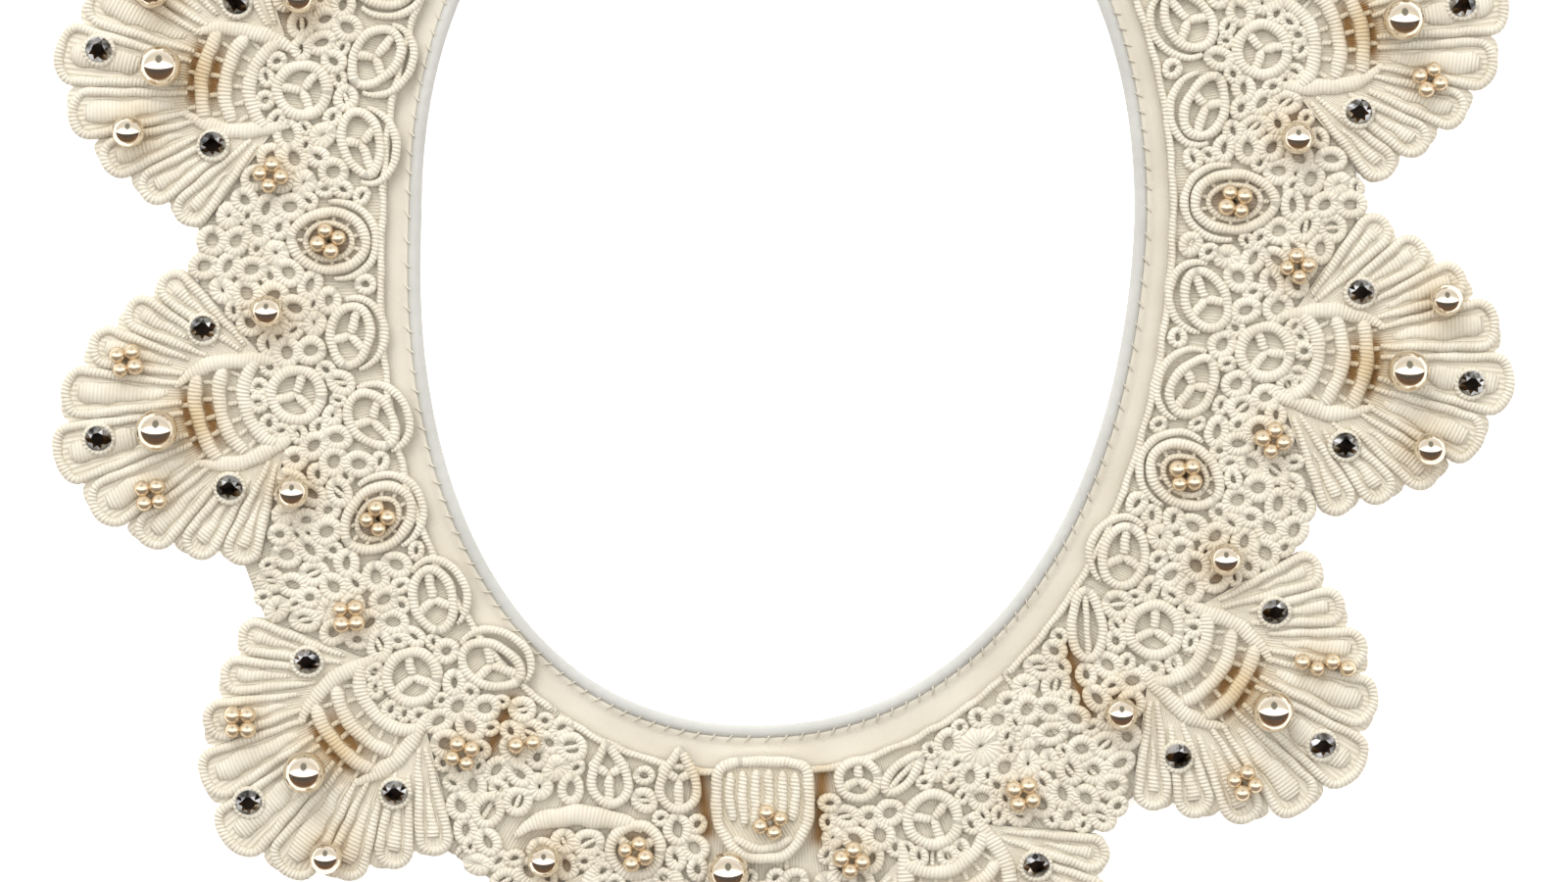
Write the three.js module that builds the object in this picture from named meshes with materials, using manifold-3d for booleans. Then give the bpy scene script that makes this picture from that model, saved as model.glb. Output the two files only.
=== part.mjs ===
// A lace collar laid flat: a plain cloth ground with a bound neck edge, corded lace sewn over it in
// lengths that end in scalloped fans, a motif at the centre front, pearls, and a button at the back.
// Millimetres, +Z up. Places are measured from the middle of the neck opening's widest line, and the
// finished group is moved so that its origin is the middle of its underside.
import * as THREE from "three";
import { mergeVertices } from "three/addons/utils/BufferGeometryUtils.js";
import Module from "manifold-3d";

const wasm = await Module();
wasm.setup();

// The neck opening: an oval whose front half leans a little to one side
const neck = { halfWidth: 53.9, front: 77, back: 65, roundness: 2.2, lean: 0.045 };

// Heights above the surface that the collar lies on
const seam = 0.3;
const ground = { bottom: 0, top: 1 };
const binding = { width: 2, shoulder: 1.2, top: 1.9, stations: 48 };
const lace = { bottom: ground.top + seam, top: 2.4 };
const motif = { bottom: lace.top + seam, top: 3.6 };

// How far the parts of the band lie from the neck edge
const groundInner = binding.width + seam;
const laceInner = { side: 4.8, front: 6.8 };
const laceOuter = 34.7;
const groundInset = 0.7;
const groundStations = 9;

// The fineness of the meshes: the step round the neck, and the sine under which a corner is straight
const roundStep = 0.018;
const tangentStep = 0.002;
const straightCorner = 1e-3;
const mergeDistance = 1e-4;

// The fans, from the back opening round each side to the front: origin, the way each points, its lace
const fans = [
  { name: "left_1", x: -21.6, y: 82.6, axis: 105.8, piece: "lace_left" },
  { name: "left_2", x: -56.2, y: 58.8, axis: 142, piece: "lace_left" },
  { name: "left_3", x: -71.8, y: 18.9, axis: 171, piece: "lace_left" },
  { name: "left_4", x: -72.7, y: -27.1, axis: 194.6, piece: "lace_left" },
  { name: "left_5", x: -55.2, y: -69.7, axis: 221.6, piece: "lace_left" },
  { name: "front_left", x: -21.5, y: -95.8, axis: 267, piece: "lace_front_left", wheelTurns: [65, 175] },
  { name: "front_right", x: 23.4, y: -91.2, axis: 292, piece: "lace_front_right" },
  { name: "right_5", x: 56.8, y: -62.6, axis: 325.5, piece: "lace_right" },
  { name: "right_4", x: 73.6, y: -20.6, axis: 352, piece: "lace_right" },
  { name: "right_3", x: 73.1, y: 25, axis: 11.6, piece: "lace_right" },
  { name: "right_2", x: 53.9, y: 61.6, axis: 41, piece: "lace_right" },
  { name: "right_1", x: 21.1, y: 82.7, axis: 74.3, piece: "lace_right" },
];

// Where along the neck each length of lace starts and ends: 0 and 1 are the centre back
const lengths = [
  { name: "lace_right", from: 0.0014, to: 0.403 },
  { name: "lace_front_right", from: 0.4038, to: 0.4916 },
  { name: "lace_front_left", from: 0.4924, to: 0.5747 },
  { name: "lace_left", from: 0.5755, to: 0.9986 },
];

// One fan, in polar form about its origin: cord arcs first, then nine petals with rounded tips
const arcRadii = [8, 11.7, 15.3];
const arcHalfPitch = 1.8;
const arcCrest = 1.2;
const arcHollow = 0.3;
const arcStations = 8;
const arcHalfLength = 6.4;
const arcSide = 0.9;
const petalAngles = [-56, -42, -29, -16, 0, 16, 29, 42, 56];
const fanHalfAngle = 63;
const petalRows = [
  { along: 0.02, crest: 0.7, hollow: 0.4, stations: 2 },
  { along: 0.35, crest: 1.1, hollow: 0.3, stations: 2 },
  { along: 0.76, crest: 1.4, hollow: 0.3, stations: 2 },
  { along: 0.93, crest: 1.1, hollow: 0.25, stations: 4 },
  { along: 1, crest: 0.5, hollow: 0.2, stations: 4 },
];
const fanReach = { flank: 25, tip: 10, lobe: 2.2, middleLobe: 3 };

// Raised cord trims on the lace, placed from a fan's origin along and across its axis
const wheel = { along: -10.1, across: 6.6, halfLong: 4.3, halfWide: 3.1, turns: [65, 115], corners: 9 };
const hub = { radius: 3.8, corners: 9 };
const cord = { width: 1.9, height: 1.1, sunk: 0.1 };
const rosette = { radius: 4.9, scallop: 0.5, scallops: 7, towardNeck: 5.2 };

// The motif at the centre front: half its outline, from the top edge down to the point
const tulip = {
  x: -2.3,
  y: -81.6,
  length: 16.4,
  outline: [
    { across: 4.6, down: 0 },
    { across: 7.3, down: 2 },
    { across: 7.9, down: 6.4 },
    { across: 7.2, down: 11 },
    { across: 4.4, down: 14.8 },
    { across: 1.2, down: 16.4 },
  ],
  stations: 10,
  ribs: [-2.3, 0, 2.3],
  ribFrom: 3.4,
  ribTo: 11,
};

const pearl = { radius: 3.15, along: 21.3, crest: 0.75, detail: 1 };
const sidePearl = { name: "front_side", x: -7.5, y: -98.9 };

// A small domed button on one back end of the lace, and a cord loop from the other end round its shank
const button = { x: -4.1, y: 73.6, radius: 2.6, shank: 0.8, shankHeight: 1.45, dome: 1.6, sides: 14 };
const domeShape = [
  { out: 0.85, up: 0.1 },
  { out: 1, up: 0.4 },
  { out: 0.7, up: 0.85 },
  { out: 0, up: 1 },
];
const loop = { radius: 0.5, clearance: 0.35, endX: 5.4, sides: 6, bends: 6, steps: 26 };

const colours = {
  ground: 0xe1dccd,
  binding: 0xd4d2c8,
  lace: 0xdbd1bb,
  motif: 0xdfd5bf,
  pearl: 0xcdbb9c,
};

function radians(degrees) {
  return (degrees * Math.PI) / 180;
}

function power(value, exponent) {
  return Math.sign(value) * Math.abs(value) ** exponent;
}

// A point of the neck edge, going from the centre back round the right side
function neckPoint(turn) {
  const angle = Math.PI / 2 - 2 * Math.PI * turn;
  const exponent = 2 / neck.roundness;
  const reach = Math.sin(angle) > 0 ? neck.back : neck.front;
  const y = reach * power(Math.sin(angle), exponent);
  const x = neck.halfWidth * power(Math.cos(angle), exponent) + neck.lean * Math.min(y, 0);
  return new THREE.Vector2(x, y);
}

// A point at a distance outside the neck edge
function bandPoint(turn, distance, z) {
  const before = neckPoint(turn - tangentStep);
  const along = neckPoint(turn + tangentStep).sub(before).normalize();
  const edge = neckPoint(turn);
  return new THREE.Vector3(edge.x - along.y * distance, edge.y + along.x * distance, z);
}

// The lace stands further from the neck edge at the front than at the sides
function laceInnerAt(turn) {
  const frontness = 0.5 - 0.5 * Math.cos(2 * Math.PI * turn);
  return THREE.MathUtils.lerp(laceInner.side, laceInner.front, frontness ** 2);
}

function fanPoint(fan, degrees, radius, z) {
  const angle = radians(fan.axis + degrees);
  return new THREE.Vector3(fan.x + radius * Math.cos(angle), fan.y + radius * Math.sin(angle), z);
}

// A point on the lace, along and across a fan's axis
function fanPlace(fan, along, across) {
  const axis = radians(fan.axis);
  const x = fan.x + along * Math.cos(axis) - across * Math.sin(axis);
  const y = fan.y + along * Math.sin(axis) + across * Math.cos(axis);
  return new THREE.Vector2(x, y);
}

// A closed geometry from points and triangles, turned inside out where its volume is negative
function closedGeometry(points, triangles) {
  let volume = 0;
  const cross = new THREE.Vector3();
  for (const [a, b, c] of triangles) {
    volume += points[a].dot(cross.crossVectors(points[b], points[c]));
  }
  const order = volume < 0 ? [0, 2, 1] : [0, 1, 2];
  const geometry = new THREE.BufferGeometry();
  const positions = points.flatMap((point) => [point.x, point.y, point.z]);
  geometry.setAttribute("position", new THREE.Float32BufferAttribute(positions, 3));
  geometry.setIndex(triangles.flatMap((triangle) => order.map((corner) => triangle[corner])));
  return geometry;
}

// Triangles between two rows of points that may differ in number
function stitchRows(first, firstCount, second, secondCount) {
  const triangles = [];
  let i = 0;
  let j = 0;
  while (i < firstCount - 1 || j < secondCount - 1) {
    const firstNext = (i + 1) / (firstCount - 1);
    const secondNext = (j + 1) / (secondCount - 1);
    if (j === secondCount - 1 || (i < firstCount - 1 && firstNext <= secondNext)) {
      triangles.push([first + i, first + i + 1, second + j]);
      i += 1;
    } else {
      triangles.push([first + i, second + j + 1, second + j]);
      j += 1;
    }
  }
  return triangles;
}

// A wall with a raised top over a flat underside, from rows of points that run side by side
function reliefWall(rows, bottom) {
  const points = rows.flat();
  const starts = [];
  let count = 0;
  for (const row of rows) {
    starts.push(count);
    count += row.length;
  }
  const triangles = [];
  for (let r = 0; r < rows.length - 1; r += 1) {
    triangles.push(...stitchRows(starts[r], rows[r].length, starts[r + 1], rows[r + 1].length));
  }
  const last = rows.length - 1;
  const between = [];
  for (let r = 1; r < last; r += 1) {
    between.push(r);
  }
  const rim = [
    ...rows[0].map((point, i) => i),
    ...between.map((r) => starts[r] + rows[r].length - 1),
    ...rows[last].map((point, i) => starts[last] + i).reverse(),
    ...between.map((r) => starts[r]).reverse(),
  ];
  const flat = rim.map((corner) => new THREE.Vector2(points[corner].x, points[corner].y));
  const kept = rim.map((corner, i) => i).filter((i) => {
    const before = flat[(i + rim.length - 1) % rim.length];
    const after = flat[(i + 1) % rim.length];
    const arriving = flat[i].clone().sub(before).normalize();
    const leaving = after.clone().sub(flat[i]).normalize();
    return Math.abs(arriving.cross(leaving)) > straightCorner;
  });
  kept.forEach((i) => points.push(new THREE.Vector3(flat[i].x, flat[i].y, bottom)));
  kept.forEach((i, order) => {
    const nextOrder = (order + 1) % kept.length;
    const reach = (kept[nextOrder] - i + rim.length) % rim.length;
    triangles.push([count + order, count + nextOrder, rim[kept[nextOrder]]]);
    for (let k = 0; k < reach; k += 1) {
      triangles.push([count + order, rim[(i + k + 1) % rim.length], rim[(i + k) % rim.length]]);
    }
  });
  const outline = kept.map((i) => flat[i]);
  const rimTurnsLeft = THREE.ShapeUtils.area(outline) > 0;
  for (const [a, b, c] of THREE.ShapeUtils.triangulateShape(outline, [])) {
    const turnsLeft = THREE.ShapeUtils.area([outline[a], outline[b], outline[c]]) > 0;
    const corners = turnsLeft === rimTurnsLeft ? [a, c, b] : [a, b, c];
    triangles.push(corners.map((corner) => count + corner));
  }
  return closedGeometry(points, triangles);
}

// A raised cord with a roof-shaped section, along a closed or open path on a flat surface
function reliefCord(path, closed, base) {
  const points = [];
  const triangles = [];
  const half = cord.width / 2;
  const count = path.length;
  path.forEach((place, i) => {
    const before = path[closed ? (i + count - 1) % count : Math.max(i - 1, 0)];
    const after = path[closed ? (i + 1) % count : Math.min(i + 1, count - 1)];
    const along = new THREE.Vector2().subVectors(after, before).normalize();
    const side = new THREE.Vector2(-along.y, along.x).multiplyScalar(half);
    points.push(new THREE.Vector3(place.x - side.x, place.y - side.y, base));
    points.push(new THREE.Vector3(place.x, place.y, base + cord.height));
    points.push(new THREE.Vector3(place.x + side.x, place.y + side.y, base));
  });
  for (let i = 0; i < (closed ? count : count - 1); i += 1) {
    const here = 3 * i;
    const there = 3 * ((i + 1) % count);
    for (let k = 0; k < 3; k += 1) {
      const next = (k + 1) % 3;
      triangles.push([here + k, there + k, there + next], [here + k, there + next, here + next]);
    }
  }
  if (!closed) {
    const end = 3 * (count - 1);
    triangles.push([0, 1, 2], [end, end + 2, end + 1]);
  }
  return closedGeometry(points, triangles);
}

function steps(from, to, count) {
  return Array.from({ length: count + 1 }, (value, i) => THREE.MathUtils.lerp(from, to, i / count));
}

// Closed geometries joined into one solid
function joined(geometries) {
  const solids = geometries.map((geometry) => toSolid(geometry));
  return toGeometry(solids.reduce((whole, solid) => whole.add(solid)));
}

function toSolid(geometry) {
  const plain = geometry.clone();
  plain.deleteAttribute("normal");
  plain.deleteAttribute("uv");
  const merged = mergeVertices(plain, mergeDistance);
  return new wasm.Manifold(
    new wasm.Mesh({
      numProp: 3,
      vertProperties: new Float32Array(merged.attributes.position.array),
      triVerts: new Uint32Array(merged.index.array),
    }),
  );
}

function toGeometry(solid) {
  const mesh = solid.getMesh();
  const geometry = new THREE.BufferGeometry();
  geometry.setAttribute("position", new THREE.BufferAttribute(new Float32Array(mesh.vertProperties), 3));
  geometry.setIndex(new THREE.BufferAttribute(new Uint32Array(mesh.triVerts), 1));
  return geometry;
}

// A flat strip of the band between two distances from the neck edge
function bandStrip(from, to, innerAt, outerAt, bottom, top) {
  const turns = steps(from, to, Math.max(4, Math.round((to - from) / roundStep)));
  const inner = turns.map((turn) => bandPoint(turn, innerAt(turn), top));
  const outer = turns.map((turn) => bandPoint(turn, outerAt(turn), top));
  return reliefWall([inner, outer], bottom);
}

// How far a fan reaches between its lobes, at an angle from its axis
function fanValley(degrees) {
  return fanReach.flank + fanReach.tip * Math.cos(radians(1.5 * degrees)) ** 2;
}

// The edges of each petal, half way to its neighbours
function petalEdges(index) {
  const middle = petalAngles[index];
  const low = index === 0 ? -fanHalfAngle : (petalAngles[index - 1] + middle) / 2;
  const last = petalAngles.length - 1;
  const high = index === last ? fanHalfAngle : (petalAngles[index + 1] + middle) / 2;
  return { low, high };
}

// Where the rows of the petals are sampled: an angle, the reach there and how near it is to a crest
function petalSamples(stations) {
  const samples = [];
  petalAngles.forEach((middle, index) => {
    const { low, high } = petalEdges(index);
    const lobe = middle === 0 ? fanReach.middleLobe : fanReach.lobe;
    for (const share of steps(-1, 1, stations)) {
      if (share > -1 || index === 0) {
        const degrees = THREE.MathUtils.lerp(low, high, (share + 1) / 2);
        const bulge = Math.sqrt(1 - share * share);
        samples.push({ degrees, reach: fanValley(degrees) + lobe * bulge, crest: bulge });
      }
    }
  });
  return samples;
}

// The raised fan: ridges for its cord arcs between smooth sides, then its petals
function fanWall(fan) {
  const rows = [];
  const arcAngles = steps(-fanHalfAngle, fanHalfAngle, arcStations);
  const arcRow = (radius, rise) => arcAngles.map((degrees) => {
    const beside = Math.abs(radius * Math.sin(radians(degrees))) > arcHalfLength;
    return fanPoint(fan, degrees, radius, lace.top + (beside ? arcSide : rise));
  });
  rows.push(arcRow(arcRadii[0] - arcHalfPitch, arcHollow));
  for (const radius of arcRadii) {
    rows.push(arcRow(radius, arcCrest));
    rows.push(arcRow(radius + arcHalfPitch, arcHollow));
  }
  const root = arcRadii.at(-1) + arcHalfPitch;
  for (const { along, crest, hollow, stations } of petalRows) {
    const row = petalSamples(stations).map((sample) => {
      const radius = THREE.MathUtils.lerp(root, sample.reach, along);
      const rise = THREE.MathUtils.lerp(hollow, crest, sample.crest);
      return fanPoint(fan, sample.degrees, radius, lace.top + rise);
    });
    rows.push(row);
  }
  return reliefWall(rows, lace.bottom);
}

// The ground cloth under a fan stops just inside the lobes
function fanGround(fan) {
  const angles = steps(-fanHalfAngle, fanHalfAngle, groundStations);
  const rim = angles.map((a) => fanPoint(fan, a, fanValley(a) - groundInset, ground.top));
  const root = angles.map((a) => fanPoint(fan, a, arcRadii[0], ground.top));
  return reliefWall([root, rim], ground.bottom);
}

function ovalPath(centre, halfLong, halfWide, degrees, count) {
  const turn = radians(degrees);
  return Array.from({ length: count }, (value, i) => {
    const angle = (2 * Math.PI * i) / count;
    const point = new THREE.Vector2(halfLong * Math.cos(angle), halfWide * Math.sin(angle));
    return point.rotateAround(new THREE.Vector2(), turn).add(centre);
  });
}

// A small wheel: an oval ring of cord with three spokes
function wheelCords(centre, degrees) {
  const { halfLong, halfWide } = wheel;
  const base = lace.top - cord.sunk;
  const cords = [reliefCord(ovalPath(centre, halfLong, halfWide, degrees, wheel.corners), true, base)];
  for (const spoke of [0, 120, 240]) {
    const reach = spoke === 0 ? halfLong : halfWide;
    const end = new THREE.Vector2(reach, 0).rotateAround(new THREE.Vector2(), radians(degrees + spoke));
    cords.push(reliefCord([centre.clone(), end.add(centre)], false, base - cord.sunk));
  }
  return cords;
}

// The small ring at a fan's origin
function hubCord(fan) {
  const centre = new THREE.Vector2(fan.x, fan.y);
  const path = ovalPath(centre, hub.radius, hub.radius, fan.axis, hub.corners);
  return reliefCord(path, true, lace.top - cord.sunk);
}

// The scalloped rosette that lies between two fans
function rosetteCord(fan, nextFan) {
  const middle = new THREE.Vector2((fan.x + nextFan.x) / 2, (fan.y + nextFan.y) / 2);
  const centre = middle.clone().setLength(middle.length() - rosette.towardNeck);
  const count = rosette.scallops * 2;
  const path = Array.from({ length: count }, (value, i) => {
    const angle = (2 * Math.PI * i) / count;
    const radius = rosette.radius + rosette.scallop * Math.cos(rosette.scallops * angle);
    return new THREE.Vector2(radius * Math.cos(angle), radius * Math.sin(angle)).add(centre);
  });
  return reliefCord(path, true, lace.top - cord.sunk);
}

// One length of lace: its band, its fans, and the wheels and rosettes beside them
function laceLength({ name, from, to }) {
  const parts = [bandStrip(from, to, laceInnerAt, () => laceOuter, lace.bottom, lace.top)];
  const own = fans.filter((fan) => fan.piece === name);
  own.forEach((fan, index) => {
    parts.push(fanWall(fan));
    parts.push(hubCord(fan));
    const turns = fan.wheelTurns ?? wheel.turns;
    [-1, 1].forEach((side, order) => {
      const centre = fanPlace(fan, wheel.along, side * wheel.across);
      parts.push(...wheelCords(centre, fan.axis + turns[order]));
    });
    if (index > 0) {
      parts.push(rosetteCord(own[index - 1], fan));
    }
  });
  return joined(parts);
}

function groundCloth() {
  const from = lengths[0].from;
  const to = lengths.at(-1).to;
  const groundOuter = laceOuter - groundInset;
  const band = bandStrip(from, to, () => groundInner, () => groundOuter, ground.bottom, ground.top);
  return joined([band, ...fans.map((fan) => fanGround(fan))]);
}

// The rolled binding: flat where it rests, with a rounded top
function neckBinding() {
  const turns = steps(lengths[0].from, lengths.at(-1).to, binding.stations);
  const rowAt = (share, z) => turns.map((turn) => bandPoint(turn, binding.width * share, z));
  const { shoulder, top } = binding;
  const rows = [rowAt(0, shoulder), rowAt(0.3, top), rowAt(0.7, top), rowAt(1, shoulder)];
  return reliefWall(rows, ground.bottom);
}

// One side of the tulip's outline, drawn in from the edge by a distance
function tulipEdge(side, inset) {
  const points = tulip.outline.map(({ across, down }) => {
    const y = THREE.MathUtils.clamp(tulip.y - down, tulip.y - tulip.length + inset, tulip.y - inset);
    return new THREE.Vector2(tulip.x + side * Math.max(across - inset, 0), y);
  });
  return new THREE.SplineCurve(points).getPoints(tulip.stations);
}

// The tulip-shaped motif at the centre front, with a raised edge and upright ribs
function centreMotif() {
  const row = (side) => tulipEdge(side, 0).map((point) => new THREE.Vector3(point.x, point.y, motif.top));
  const base = motif.top - cord.sunk;
  const right = tulipEdge(1, cord.width);
  const left = tulipEdge(-1, cord.width);
  const parts = [reliefWall([row(-1), row(1)], motif.bottom)];
  parts.push(reliefCord([...left, ...right.slice(0, -1).reverse()], true, base));
  for (const across of tulip.ribs) {
    const top = new THREE.Vector2(tulip.x + across, tulip.y - tulip.ribFrom);
    const foot = new THREE.Vector2(tulip.x + across, tulip.y - tulip.ribTo);
    parts.push(reliefCord([top, foot], false, base - cord.sunk));
  }
  return joined(parts);
}

// A pearl seated on the crest of its fan's middle petal
function fanPearl(fan) {
  const { x, y } = fanPlace(fan, pearl.along, 0);
  return pearlAt(x, y, lace.top + pearl.crest);
}

function pearlAt(x, y, seat) {
  const ball = new THREE.IcosahedronGeometry(pearl.radius, pearl.detail);
  return ball.translate(x, y, seat + seam + pearl.radius);
}

// The button: a shank under a low dome
function backButton() {
  const { radius, shank, shankHeight, dome } = button;
  const base = lace.top + seam;
  const under = base + shankHeight;
  const profile = [
    new THREE.Vector2(0, base),
    new THREE.Vector2(shank, base),
    new THREE.Vector2(shank, under),
    ...domeShape.map(({ out, up }) => new THREE.Vector2(radius * out, under + dome * up)),
  ];
  const turned = new THREE.LatheGeometry(profile, button.sides);
  return turned.rotateX(Math.PI / 2).translate(button.x, button.y, 0);
}

// The loop: a cord that leaves one back end, rounds the button's shank and comes back
function backLoop() {
  const height = lace.top + seam + loop.radius;
  const round = button.shank + loop.clearance + loop.radius;
  const arc = steps(Math.PI / 2, (3 * Math.PI) / 2, loop.bends).map((angle) => {
    return new THREE.Vector3(button.x + round * Math.cos(angle), button.y + round * Math.sin(angle), height);
  });
  const upper = new THREE.Vector3(loop.endX, button.y + round, height);
  const lower = new THREE.Vector3(loop.endX, button.y - round, height);
  const upperHalf = new THREE.Vector3(loop.endX / 2, button.y + round, height);
  const lowerHalf = new THREE.Vector3(loop.endX / 2, button.y - round, height);
  const path = new THREE.CatmullRomCurve3([upper, upperHalf, ...arc, lowerHalf, lower]);
  const section = new THREE.Shape(ovalPath(new THREE.Vector2(), loop.radius, loop.radius, 0, loop.sides));
  return new THREE.ExtrudeGeometry(section, { steps: loop.steps, bevelEnabled: false, extrudePath: path });
}

// The origin is the middle of the underside
function moveToOrigin(group) {
  const box = new THREE.Box3().setFromObject(group);
  const middle = box.getCenter(new THREE.Vector3());
  group.position.set(-middle.x, -middle.y, -box.min.z);
}

function material(colour, roughness) {
  return new THREE.MeshStandardMaterial({ color: colour, roughness, metalness: 0 });
}

function named(name, geometry, colour, roughness) {
  const mesh = new THREE.Mesh(geometry, material(colour, roughness));
  mesh.name = name;
  return mesh;
}

const collar = new THREE.Group();
collar.add(named("ground_cloth", groundCloth(), colours.ground, 0.95));
collar.add(named("neck_binding", neckBinding(), colours.binding, 0.9));
for (const length of lengths) {
  collar.add(named(length.name, laceLength(length), colours.lace, 0.85));
}
collar.add(named("centre_motif", centreMotif(), colours.motif, 0.85));
for (const fan of fans) {
  collar.add(named(`pearl_${fan.name}`, fanPearl(fan), colours.pearl, 0.15));
}
const sidePearlBall = pearlAt(sidePearl.x, sidePearl.y, lace.top);
collar.add(named(`pearl_${sidePearl.name}`, sidePearlBall, colours.pearl, 0.15));
collar.add(named("back_button", backButton(), colours.pearl, 0.3));
collar.add(named("back_loop", backLoop(), colours.lace, 0.85));
moveToOrigin(collar);

export default collar;
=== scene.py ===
# A cream lace collar laid flat and seen from straight above: a plain cotton ground with a bound
# neck edge, corded lace in scalloped fans, pearls, seed pearls and dark cut stones.
# Places are in millimetres from the middle of the neck opening, and become metres in the frame.
import math
import random

import bpy
import numpy as np
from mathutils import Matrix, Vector


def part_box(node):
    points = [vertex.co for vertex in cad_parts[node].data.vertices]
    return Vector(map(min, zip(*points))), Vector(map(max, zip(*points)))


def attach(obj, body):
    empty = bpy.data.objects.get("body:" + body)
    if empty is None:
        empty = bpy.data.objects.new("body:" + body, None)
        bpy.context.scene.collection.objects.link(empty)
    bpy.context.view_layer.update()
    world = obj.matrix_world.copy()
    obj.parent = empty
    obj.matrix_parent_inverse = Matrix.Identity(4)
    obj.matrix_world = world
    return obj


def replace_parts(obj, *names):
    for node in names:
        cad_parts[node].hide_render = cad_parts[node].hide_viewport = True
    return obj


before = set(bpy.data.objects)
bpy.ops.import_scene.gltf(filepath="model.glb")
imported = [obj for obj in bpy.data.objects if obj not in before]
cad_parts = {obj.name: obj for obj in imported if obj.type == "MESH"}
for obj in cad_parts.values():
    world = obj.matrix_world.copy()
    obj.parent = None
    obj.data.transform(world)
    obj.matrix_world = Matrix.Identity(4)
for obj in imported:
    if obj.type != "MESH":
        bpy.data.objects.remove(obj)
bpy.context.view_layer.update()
chance = random.Random(7)

# The neck opening: an oval whose front half leans a little to one side
NECK_HALF_WIDTH = 53.9
NECK_FRONT = 77.0
NECK_BACK = 65.0
NECK_ROUNDNESS = 2.2
NECK_LEAN = 0.045
NECK_EDGE = 401.5

# Heights above the surface that the collar lies on
GROUND_TOP = 1.0
LACE_BOTTOM = 1.3
LACE_TOP = 2.4
MOTIF_BOTTOM = 2.7
MOTIF_TOP = 3.3
BINDING_MIDDLE = 0.96
GAP_FLOOR = 1.72
CORD_ROOT = 1.6

# Distances from the neck edge
BINDING_WIDTH = 2.0
GROUND_INNER = 1.92
LACE_INNER_SIDE = 4.8
LACE_INNER_FRONT = 6.8
LACE_OUTER = 34.7
GROUND_INSET = 1.3
WALL_INSET = 1.1

# The fans, from the back opening round each side to the front: origin and the way each points
FANS = {
    "left_1": {"x": -21.6, "y": 82.6, "axis": 105.8, "piece": "lace_left"},
    "left_2": {"x": -56.2, "y": 58.8, "axis": 142.0, "piece": "lace_left"},
    "left_3": {"x": -71.8, "y": 18.9, "axis": 171.0, "piece": "lace_left"},
    "left_4": {"x": -72.7, "y": -27.1, "axis": 194.6, "piece": "lace_left"},
    "left_5": {"x": -55.2, "y": -69.7, "axis": 221.6, "piece": "lace_left"},
    "front_left": {"x": -21.5, "y": -95.8, "axis": 267.0, "piece": "lace_front_left"},
    "front_right": {"x": 23.4, "y": -91.2, "axis": 292.0, "piece": "lace_front_right"},
    "right_5": {"x": 56.8, "y": -62.6, "axis": 325.5, "piece": "lace_right"},
    "right_4": {"x": 73.6, "y": -20.6, "axis": 352.0, "piece": "lace_right"},
    "right_3": {"x": 73.1, "y": 25.0, "axis": 11.6, "piece": "lace_right"},
    "right_2": {"x": 53.9, "y": 61.6, "axis": 41.0, "piece": "lace_right"},
    "right_1": {"x": 21.1, "y": 82.7, "axis": 74.3, "piece": "lace_right"},
}

# Where along the neck each length of lace starts and ends: 0 and 1 are the centre back
LENGTHS = {
    "lace_right": (0.0014, 0.403),
    "lace_front_right": (0.4038, 0.4916),
    "lace_front_left": (0.4924, 0.5747),
    "lace_left": (0.5755, 0.9986),
}
SEAM_HALF_TURN = 0.0004

# One fan in polar form: cord arcs between smooth sides, then petals with rounded tips
ARC_RADII = (8.0, 11.7, 15.3)
ARC_HALF_LENGTH = 6.4
ARC_START = 6.1
ARC_END = 17.1
FAN_HALF_ANGLE = 63.0
FAN_FLANK = 25.0
FAN_TIP = 10.0
LOBE = 2.2
MIDDLE_LOBE = 3.0
HUB_RADIUS = 3.8

# Each petal: its middle's angle, and the radii where its edge cord and its padded middle start
PETALS = [
    {"middle": -56, "root": 10.8, "spine": 17.0},
    {"middle": -42, "root": 14.6, "spine": 18.5},
    {"middle": -29, "root": 17.2, "spine": 19.5},
    {"middle": -16, "root": 17.4, "spine": 19.5},
    {"middle": 0, "root": 17.4, "spine": 24.6},
    {"middle": 16, "root": 17.4, "spine": 19.5},
    {"middle": 29, "root": 17.2, "spine": 19.5},
    {"middle": 42, "root": 14.6, "spine": 18.5},
    {"middle": 56, "root": 10.8, "spine": 17.0},
]

# The smooth padded band beside the arcs, along and across the fan's axis
SIDE_BAND = [(1.2, 5.6), (5.6, 6.9), (10.4, 7.7), (14.6, 7.1), (17.6, 5.9)]

# Cords: half their width and half their height
CORD = (0.7, 0.58)
BROAD_CORD = (1.05, 0.66)
PETAL_CORD = (0.74, 0.62)
SPOKE = (0.76, 0.5)
BAR = (0.42, 0.34)
BAR_PITCH = 2.3
UNEVEN_WIDTH = 0.05
UNEVEN_PATH = 0.07
CORD_STEP = 0.72

# The filling's rings: the sizes tried in turn, how far they may overlap, and pass the band's outer edge
NET_SIZES = (2.35, 2.1, 1.85, 1.6, 1.4)
NET_OVERLAP = 1.15
NET_OVERHANG = 0.35

# The wheels beside each fan, along and across its axis, and how they turn
WHEEL_ALONG = -10.1
WHEEL_ACROSS = 6.6
WHEEL_LONG = 4.6
WHEEL_WIDE = 3.25
WHEEL_TURNS = (65, 115)
ARC_REACH = 1.5
ROSETTE_LONG = 5.9
ROSETTE_WIDE = 4.5
ROSETTE_SPOKES = 11
ROSETTE_TOWARD_NECK = 4.4

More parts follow.
